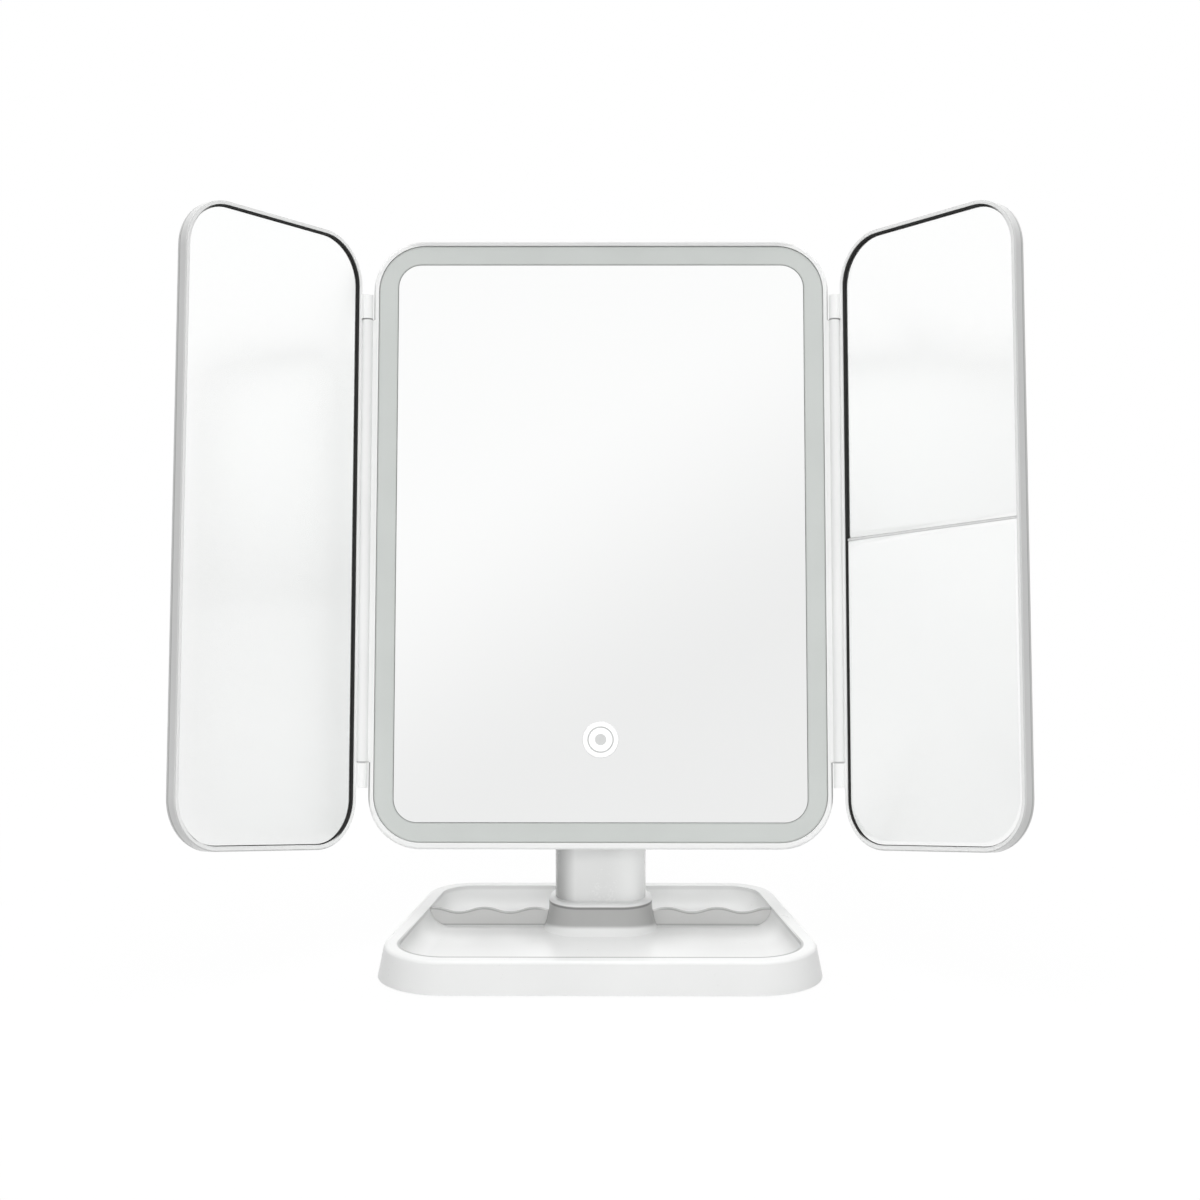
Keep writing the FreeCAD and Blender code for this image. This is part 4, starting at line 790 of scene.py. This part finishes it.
def silvered(name, colour, placement, glass, deepening):
    """Front glass over silver: a painted reflection that deepens in tone towards a lower corner, with the
    faint haze of a cloth.
    """
    start, end, left = deepening
    made = finish_of(name)
    face = made.turned(placement)
    wipes = made.noise(made.stretched(face, (0.35, 1.0, 1.0)), WIPES, 4, 0.6)
    low, high = glass
    middle = (placement @ ((low + high) / 2)).x
    down = high.z - made.axes(face)[2]
    aside = made.axes(made.place())[0] - middle
    tone = (down + aside * TONE_SLANT).rise(start, end)
    return made.surface(
        Base_Color=made.blend(tone, colour, tinted(colour, left)),
        Metallic=1.0,
        Roughness=0.17 + wipes.rise(0.4, 0.8) * 0.04,
        Coat_Weight=0.25,
        Coat_Roughness=0.02,
    )


def resin(name, colour, fleck, gloss):
    """Glass-filled board or cast resin: short fibres and small flecks."""
    made = finish_of(name)
    place = made.place()
    weave_x = made.noise(made.stretched(place, (0.1, 1.0, 1.0)), BOARD_FIBRES, 2)
    weave_z = made.noise(made.stretched(place, (1.0, 1.0, 0.1)), BOARD_FIBRES, 2)
    weave = (weave_x + weave_z) * 0.5
    return made.surface(
        Base_Color=made.blend(weave.rise(0.42, 0.6), colour, fleck),
        Roughness=gloss + (weave - 0.5) * 0.12,
        Normal=made.bump(weave, FINE_DEPTH, 0.4),
    )


def frosted_band(colour, size):
    """Frosted border: etched face, with a painted shadow line along its edge outside and inside."""
    made = finish_of("frosted_border")
    face = made.turned(PANEL)
    across, _, up = made.axes(face)
    low, high = BORDER
    middle = (low.z + high.z) / 2

    def inside(half_width, half_height, corner):
        """Distance inside a rounded rectangle's edge, in metres."""
        right = (abs(across) - (half_width - corner)).larger(0.0)
        top = (abs(up - middle) - (half_height - corner)).larger(0.0)
        return corner - (right * right + top * top).root()

    outer = inside(high.x, (high.z - low.z) / 2, size.border_corner)
    window_low, window_high = CENTRE_GLASS
    inner = inside(window_high.x, (window_high.z - window_low.z) / 2, size.window_corner)
    outer_line = outer.fall(0.25 * MM, 0.75 * MM)
    inner_line = (inner + 0.75 * MM).rise(0.0, 0.5 * MM)
    line = outer_line.larger(inner_line)
    etch = made.noise(face, BORDER_ETCH, 2)
    haze = made.noise(face, BORDER_HAZE, 2)
    even = made.blend(haze.rise(0.3, 0.7), tinted(colour, 0.975), tinted(colour, 1.02))
    return made.surface(
        Base_Color=made.blend(line * 0.4, even, tinted(colour, 0.45)),
        Roughness=0.42 + (etch - 0.5) * 0.16,
        Normal=made.bump(etch, FINE_DEPTH, 0.35),
        Coat_Weight=0.35,
        Coat_Roughness=0.22,
    )


def key_print(size):
    """Screen-printed touch mark: white ink with a faint painted glow, a fine grey ring and a grey dot."""
    made = finish_of("touch_mark_ink")
    across, _, up = made.axes(made.turned(PANEL))
    rise = up - (TOUCH[0].z + TOUCH[1].z) / 2
    radius = (across * across + rise * rise).root()
    ring = radius.line(size.touch_groove, 0.15 * MM, 0.4 * MM)
    rim = radius.rise(TOUCH[1].x - 0.45 * MM, TOUCH[1].x - 0.1 * MM)
    dot = radius.fall(size.touch_dot - 0.15 * MM, size.touch_dot + 0.1 * MM)
    grey = (ring * 0.95).larger(rim * 0.5).larger(dot * 0.75)
    grain = made.noise(made.place(), INK_GRAIN, 2)
    return made.surface(
        Base_Color=made.blend(grey, (0.95, 0.955, 0.95), (0.5, 0.51, 0.505)),
        # The faint glow is painted light that whitens the mark; it is no lamp.
        Emission_Color=made.blend(grey, (1.0, 1.0, 1.0), (0.3, 0.3, 0.3)),
        Emission_Strength=0.14,
        Roughness=0.35 + (grain - 0.5) * 0.12,
        Normal=made.bump(grain, INK_DEPTH, 0.3),
    )


def smooth(mesh):
    """Smooth shading on rounded faces; the flat plates across the depth stay flat."""
    mesh.normal_update()
    for face in mesh.faces:
        face.smooth = abs(face.normal.y) < FLAT
    for edge in mesh.edges:
        edge.smooth = len(edge.link_faces) == 2 and edge.calc_face_angle(0) < SMOOTH_ANGLE


def piece_from(mesh, name, placement, finish, body, replaced):
    """Puts a finished mesh in its place and ties it to the body that carries it."""
    bmesh.ops.remove_doubles(mesh, verts=mesh.verts, dist=SAME_PLACE)
    smooth(mesh)
    bmesh.ops.transform(mesh, matrix=placement, verts=mesh.verts)
    bmesh.ops.recalc_face_normals(mesh, faces=mesh.faces)
    data = bpy.data.meshes.new(name)
    mesh.to_mesh(data)
    mesh.free()
    data.materials.append(finish)
    piece = bpy.data.objects.new(name, data)
    bpy.context.scene.collection.objects.link(piece)
    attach(piece, body)
    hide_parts(*replaced)


def bevelled(mesh, edges, width, segments=EDGE_SEGMENTS):
    """Rounds edges off by a width."""
    bmesh.ops.bevel(
        mesh, geom=edges, offset=width, offset_type="OFFSET", affect="EDGES",
        segments=segments, profile=0.5, material=-1,
    )


def rounded_slab(mesh, low, high, corner):
    """A slab between two corners, thin along y, with its four upright corners rounded."""
    made = bmesh.ops.create_cube(mesh, size=1)["verts"]
    middle = (low + high) / 2
    bmesh.ops.scale(mesh, vec=high - low, verts=made)
    bmesh.ops.translate(mesh, vec=middle, verts=made)
    along = [
        edge
        for edge in {edge for vertex in made for edge in vertex.link_edges}
        if abs(edge.verts[0].co.y - edge.verts[1].co.y) > (high.y - low.y) / 2
    ]
    bevelled(mesh, along, corner, CORNER_SEGMENTS)


def outline_edges(mesh, level):
    """The edges of the large faces that lie at one depth."""
    return [
        edge
        for edge in mesh.edges
        if all(abs(vertex.co.y - level) < SAME_LEVEL for vertex in edge.verts)
        and any(abs(face.normal.y) < 0.5 for face in edge.link_faces)
    ]


def pane(low, high, corner, polish):
    """A glass pane with a polished chamfer round its front and a small arris behind."""
    mesh = bmesh.new()
    rounded_slab(mesh, low, high, corner)
    mesh.normal_update()
    for level, width in ((low.y, polish), (high.y, polish / 2)):
        bevelled(mesh, outline_edges(mesh, level), width)
    return mesh


def lens_pane(box, face_level, size, upper):
    """A magnifying pane: round corners away from the split, and a face that dishes in towards its middle."""
    low, high = Vector(box[0]), Vector(box[1])
    dish = high.y - size.lens_thickness - face_level
    low.y = face_level
    high.y = face_level + size.lens_thickness
    mesh = bmesh.new()
    square = low.z if upper else high.z
    past = Vector((0, 0, 2 * size.wing_corner))
    if upper:
        rounded_slab(mesh, low - past, high, size.wing_corner)
    else:
        rounded_slab(mesh, low, high + past, size.wing_corner)
    cut = bmesh.ops.bisect_plane(
        mesh, geom=[*mesh.verts, *mesh.edges, *mesh.faces], dist=SAME_LEVEL,
        plane_co=(0, 0, square), plane_no=(0, 0, -1 if upper else 1), clear_outer=True,
    )
    split = [part for part in cut["geom_cut"] if isinstance(part, bmesh.types.BMEdge)]
    bmesh.ops.contextual_create(mesh, geom=split)
    bmesh.ops.recalc_face_normals(mesh, faces=mesh.faces)
    mesh.normal_update()
    bevelled(mesh, outline_edges(mesh, low.y), size.polish)
    mesh.normal_update()
    centre = (low + high) / 2
    for sign in (-1, 1):
        plates = [face for face in mesh.faces if face.normal.y * sign > 0.99]
        plate = max(plates, key=lambda face: face.calc_area())
        reached = 1.0
        for share in LENS_RINGS:
            bmesh.ops.inset_individual(mesh, faces=[plate], thickness=SAME_PLACE)
            bmesh.ops.scale(
                mesh, vec=(share / reached, 1, share / reached), verts=plate.verts,
                space=Matrix.Translation(-centre),
            )
            deeper = dish * (reached**2 - share**2)
            bmesh.ops.translate(mesh, vec=(0, deeper, 0), verts=plate.verts)
            reached = share
    return mesh


class VANITY_OT_centre_glass(bpy.types.Operator):
    """Lay the centre mirror's silvered glass into its window"""

    bl_idname = "vanity.centre_glass"
    bl_label = "Centre Glass"

    def execute(self, context):
        size, colours = context.scene.vanity_sizes, context.scene.vanity_finishes
        low, high = CENTRE_GLASS
        mesh = pane(low, high, size.glass_corner, size.polish)
        silver = tinted(colours.silver, 0.975)
        finish = silvered("centre_silver", silver, PANEL, CENTRE_GLASS, CENTRE_TONE)
        piece_from(mesh, "centre_glass", PANEL, finish, "head", ["centre_mirror"])
        return {"FINISHED"}


class VANITY_OT_side_glass(bpy.types.Operator):
    """Lay the flat pane into the left wing and silver the two magnifying panes of the right wing"""

    bl_idname = "vanity.side_glass"
    bl_label = "Side Glass"

    def execute(self, context):
        size, colours = context.scene.vanity_sizes, context.scene.vanity_finishes
        low, high = WING_GLASS
        mesh = pane(low, high, size.wing_corner, size.polish)
        finish = silvered("left_wing_silver", colours.silver, LEFT_WING, WING_GLASS, LEFT_WING_TONE)
        piece_from(
            mesh, "left_wing_glass", LEFT_WING, finish, "left_wing", ["left_wing_mirror"]
        )
        lenses = (("lower", size.lens_rise, LOWER_LENS_TONE), ("upper", 0.0, UPPER_LENS_TONE))
        for level, rise, deepening in lenses:
            node = level + "_magnifier"
            box = box_in(RIGHT_WING, node)
            mesh = lens_pane(box, WING_GLASS[0].y - rise, size, level == "upper")
            lens = silvered(level + "_lens_silver", colours.silver, RIGHT_WING, box, deepening)
            piece_from(mesh, level + "_lens", RIGHT_WING, lens, "right_wing", [node])
        return {"FINISHED"}


class VANITY_OT_light_border(bpy.types.Operator):
    """Fit the frosted border round the centre glass"""

    bl_idname = "vanity.light_border"
    bl_label = "Light Border"

    def execute(self, context):
        size, colours = context.scene.vanity_sizes, context.scene.vanity_finishes
        low, high = BORDER
        gap = Vector((0.1 * MM, 1 * MM, 0.1 * MM))
        window_low = Vector((CENTRE_GLASS[0].x, low.y, CENTRE_GLASS[0].z)) - gap
        window_high = Vector((CENTRE_GLASS[1].x, high.y, CENTRE_GLASS[1].z)) + gap
        mesh = bmesh.new()
        rounded_slab(mesh, low, high, size.border_corner)
        rounded_slab(mesh, window_low, window_high, size.window_corner)
        mesh.normal_update()
        plates = [face for face in mesh.faces if abs(face.normal.y) > 0.5]
        bmesh.ops.delete(mesh, geom=plates, context="FACES_ONLY")
        # The window's loops stand a little proud while they are bridged, so that the two rings can't cross.
        for level, proud in ((low.y, window_low.y), (high.y, window_high.y)):
            loops = [
                edge
                for edge in mesh.edges
                if all(
                    min(abs(vertex.co.y - level), abs(vertex.co.y - proud)) < SAME_LEVEL
                    for vertex in edge.verts
                )
            ]
            bmesh.ops.bridge_loops(mesh, edges=loops)
            lifted = [vertex for vertex in mesh.verts if abs(vertex.co.y - proud) < SAME_LEVEL]
            bmesh.ops.translate(mesh, vec=(0, level - proud, 0), verts=lifted)
        bmesh.ops.recalc_face_normals(mesh, faces=mesh.faces)
        mesh.normal_update()
        bevelled(mesh, outline_edges(mesh, low.y), size.border_edge)
        finish = frosted_band(colours.border, size)
        piece_from(mesh, "light_border", PANEL, finish, "head", ["light_diffuser"])
        return {"FINISHED"}


class VANITY_OT_touch_mark(bpy.types.Operator):
    """Print the round touch mark low on the centre glass"""

    bl_idname = "vanity.touch_mark"
    bl_label = "Touch Mark"

    def execute(self, context):
        size = context.scene.vanity_sizes
        low, high = TOUCH
        radius, face, back = high.x, low.y, high.y
        # The profile from the middle out: how far out, and how deep as a share of the mark's thickness.
        steps = (
            (0.0, 0.35),
            (size.touch_dot - 0.1 * MM, 0.35),
            (size.touch_dot + 0.1 * MM, 0.0),
            (size.touch_groove - 0.25 * MM, 0.0),
            (size.touch_groove, 0.3),
            (size.touch_groove + 0.25 * MM, 0.0),
            (radius - 0.25 * MM, 0.0),
            (radius, 0.6),
            (radius, 1.0),
        )
        mesh = bmesh.new()
        corners = [mesh.verts.new((out, face + (back - face) * depth, 0)) for out, depth in steps]
        for first, second in zip(corners, corners[1:]):
            mesh.edges.new((first, second))
        bmesh.ops.spin(
            mesh, geom=[*mesh.verts, *mesh.edges], cent=(0, 0, 0), axis=(0, 1, 0),
            angle=math.tau, steps=TURNED_STEPS, use_merge=True,
        )
        bmesh.ops.remove_doubles(mesh, verts=mesh.verts, dist=SAME_PLACE)
        rim = [edge for edge in mesh.edges if edge.is_boundary]
        bmesh.ops.contextual_create(mesh, geom=rim)
        bmesh.ops.translate(mesh, vec=(0, 0, (low.z + high.z) / 2), verts=mesh.verts)
        piece_from(mesh, "touch_mark", PANEL, key_print(size), "head", ["touch_key"])
        return {"FINISHED"}


def coat(nodes, finish):
    """Gives framed parts one finish."""
    for name in nodes:
        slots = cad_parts[name].data.materials
        slots.clear()
        slots.append(finish)


class VANITY_OT_shells(bpy.types.Operator):
    """Finish the white shells, the clear-natural inner mouldings and the base's underside"""

    bl_idname = "vanity.shells"
    bl_label = "Moulded Shells"

    def execute(self, context):
        colours = context.scene.vanity_finishes
        white = colours.shell
        # The wing frames' white is made lighter than the head's: a painted highlight.
        painted_highlight_white = tinted(white, 1.06)
        satin = tinted(white, 0.985)
        grained = (SHELL_GRAIN, SHELL_DEPTH, 0.2)
        coat(["head_frame"], moulded("head_white", white, 0.3, *grained, head_shade))
        for side, placement in (("left", LEFT_WING), ("right", RIGHT_WING)):
            shade = wing_shade(placement)
            coat([side + "_wing_frame"], moulded(side + "_white", painted_highlight_white, 0.3, *grained, shade))
            coat(
                [side + "_wing_back"],
                moulded(side + "_satin", satin, 0.42, SATIN_GRAIN, SATIN_DEPTH, 0.0, shade),
            )
        coat(["base_shell"], base_moulding(white, colours.foot))
        # The neck's white is lighter than the shells': a painted highlight, darkened by column_shade on its
        # left.
        coat(
            ["neck_front_shell", "neck_rear_shell"],
            moulded("neck_white", tinted(white, 1.09), 0.26, 0.9 * MM, 0.005 * MM, 0.3, column_shade),
        )
        coat(
            ["head_rear_shell", "battery_door", "ear_caps"],
            moulded("satin_white", satin, 0.42, SATIN_GRAIN, SATIN_DEPTH),
        )
        for node, *finish in INNER_MOULDINGS:
            coat([node], moulded(*finish))
        return {"FINISHED"}


class VANITY_OT_rubber(bpy.types.Operator):
    """Finish the black seals, the foot pad, the tapes and the foam pads"""

    bl_idname = "vanity.rubber"
    bl_label = "Rubber and Foam"

    def execute(self, context):
        colours = context.scene.vanity_finishes
        for side, placement in (("left", LEFT_WING), ("right", RIGHT_WING)):
            seal = sealing(side + "_seal", colours.gasket, colours.shell, placement)
            coat([side + "_wing_gasket"], seal)
        coat(["anti_slip_pad"], rubbery("foot_pad", (0.24, 0.245, 0.25), 1.1 * MM))
        foam = rubbery("foam_tape", (0.5, 0.5, 0.48), 0.8 * MM)
        coat(["mirror_tape", "left_wing_tape", "magnifier_pads"], foam)
        return {"FINISHED"}


class VANITY_OT_metalwork(bpy.types.Operator):
    """Finish the screws, pins, washers, weight and contacts"""

    bl_idname = "vanity.metalwork"
    bl_label = "Metalwork"

    def execute(self, context):
        for *finish, nodes in METALS:
            coat(nodes, plated(*finish))
        return {"FINISHED"}


class VANITY_OT_electrics(bpy.types.Operator):
    """Finish the boards, lamps, cells and leads"""

    bl_idname = "vanity.electrics"
    bl_label = "Electrics"

    def execute(self, context):
        for *finish, nodes in RESINS:
            coat(nodes, resin(*finish))
        coat(["head_wiring"], moulded("lead_sleeve", (0.35, 0.02, 0.02), 0.45, 0.8 * MM, 0.01 * MM))
        cells = moulded("cell_wrap", (0.05, 0.22, 0.3), 0.28, 0.8 * MM, 0.004 * MM, 0.4)
        coat(["battery_cells"], cells)
        return {"FINISHED"}


class VANITY_OT_studio(bpy.types.Operator):
    """Set up the pale floor, the soft lamps and the camera"""

    bl_idname = "vanity.studio"
    bl_label = "Studio"

    def execute(self, context):
        studio = context.scene.vanity_studio
        self.lay_floor()
        self.light_room(context.scene, studio)
        for name, place, size, glow in LAMPS:
            self.hang_lamp(name, place, size, getattr(studio, glow))
        self.set_camera(context.scene, studio)
        context.scene.view_settings.view_transform = "Standard"
        return {"FINISHED"}

    def lay_floor(self):
        mesh = bmesh.new()
        bmesh.ops.create_circle(mesh, cap_ends=True, segments=96, radius=FLOOR_RADIUS)
        bmesh.ops.translate(mesh, vec=(0, 0, TABLE_LEVEL), verts=mesh.verts)
        data = bpy.data.meshes.new("floor")
        mesh.to_mesh(data)
        mesh.free()
        paper = finish_of("floor_paper")
        across, along, _ = paper.axes(paper.place())
        distance = (across * across + along * along).root()
        fibres = paper.noise(paper.place(), PAPER_FIBRES, 3)
        sheet = paper.add("ShaderNodeBsdfDiffuse", sockets={
            "Color": paper.blend(fibres, (0.6, 0.6, 0.6), (0.66, 0.66, 0.66))
        })
        glow = paper.add("ShaderNodeEmission", sockets={"Color": (1, 1, 1), "Strength": FLOOR_GLOW})
        rays = paper.add("ShaderNodeLightPath")
        seen = paper.wire(rays, "Is Camera Ray").larger(paper.wire(rays, "Is Glossy Ray"))
        lit = paper.add("ShaderNodeMixShader", sockets={
            0: seen * FLOOR_GLOW_SHARE, 1: sheet.outputs[0], 2: glow.outputs[0],
        })
        clear = paper.add("ShaderNodeBsdfTransparent")
        faded = paper.add("ShaderNodeMixShader", sockets={
            0: distance.rise(*FLOOR_FADE), 1: lit.outputs[0], 2: clear.outputs[0],
        })
        paper.tree.links.new(faded.outputs[0], paper.output.inputs[0])
        data.materials.append(paper.owner)
        floor = bpy.data.objects.new("floor", data)
        bpy.context.scene.collection.objects.link(floor)

    def light_room(self, scene, studio):
        scene.world = bpy.data.worlds.new("studio_room")
        room = Finish(scene.world, "ShaderNodeOutputWorld")
        rays = room.add("ShaderNodeLightPath")
        mirrored = room.wire(rays, "Is Glossy Ray").larger(room.wire(rays, "Is Transmission Ray"))
        white = room.wire(rays, "Is Camera Ray").larger(mirrored)
        shown = white + (1.0 - white) * studio.room_light
        sky = room.add("ShaderNodeBackground", sockets={"Color": (1, 1, 1), "Strength": shown})
        room.tree.links.new(sky.outputs[0], room.output.inputs[0])

    def hang_lamp(self, name, place, size, glow):
        light = bpy.data.lights.new(name, "AREA")
        light.shape = "SQUARE"
        light.size = size
        light.energy = glow * math.pi * size**2
        lamp = bpy.data.objects.new(name, light)
        lamp.location = place
        lamp.visible_camera = False
        lamp.visible_glossy = False
        lamp.rotation_euler = (LAMP_TARGET - Vector(place)).to_track_quat("-Z", "Y").to_euler()
        bpy.context.scene.collection.objects.link(lamp)

    def set_camera(self, scene, studio):
        camera = bpy.data.cameras.new("camera")
        camera.sensor_width = 36
        camera.lens = studio.lens
        camera.clip_start = 0.01
        eye = bpy.data.objects.new("camera", camera)
        eye.location = studio.camera_place
        eye.rotation_euler = (math.pi / 2 - studio.camera_pitch, 0, studio.camera_yaw)
        scene.collection.objects.link(eye)
        scene.camera = eye


STEPS = (
    VANITY_OT_shells,
    VANITY_OT_rubber,
    VANITY_OT_metalwork,
    VANITY_OT_electrics,
    VANITY_OT_centre_glass,
    VANITY_OT_side_glass,
    VANITY_OT_light_border,
    VANITY_OT_touch_mark,
    VANITY_OT_studio,
)


class VANITY_PT_panel(bpy.types.Panel):
    """Lists the pieces of the mirror in the order they are made"""

    bl_idname = "VANITY_PT_panel"
    bl_label = "Vanity Mirror"
    bl_space_type = "VIEW_3D"
    bl_region_type = "UI"
    bl_category = "Vanity Mirror"

    def draw(self, context):
        for group in (context.scene.vanity_sizes, context.scene.vanity_finishes, context.scene.vanity_studio):
            box = self.layout.box()
            for name in group.__annotations__:
                box.prop(group, name)
        for step in STEPS:
            self.layout.operator(step.bl_idname)


GROUPS = {"vanity_sizes": MirrorSizes, "vanity_finishes": MirrorFinishes, "vanity_studio": StudioSettings}


def register():
    for made in (*GROUPS.values(), *STEPS, VANITY_PT_panel):
        bpy.utils.register_class(made)
    for name, group in GROUPS.items():
        setattr(bpy.types.Scene, name, PointerProperty(type=group))


def unregister():
    for name in GROUPS:
        delattr(bpy.types.Scene, name)
    for made in reversed((*GROUPS.values(), *STEPS, VANITY_PT_panel)):
        bpy.utils.unregister_class(made)


def main():
    register()
    bpy.ops.vanity.shells()
    bpy.ops.vanity.rubber()
    bpy.ops.vanity.metalwork()
    bpy.ops.vanity.electrics()
    bpy.ops.vanity.centre_glass()
    bpy.ops.vanity.side_glass()
    bpy.ops.vanity.light_border()
    bpy.ops.vanity.touch_mark()
    bpy.ops.vanity.studio()


if __name__ == "__main__":
    main()
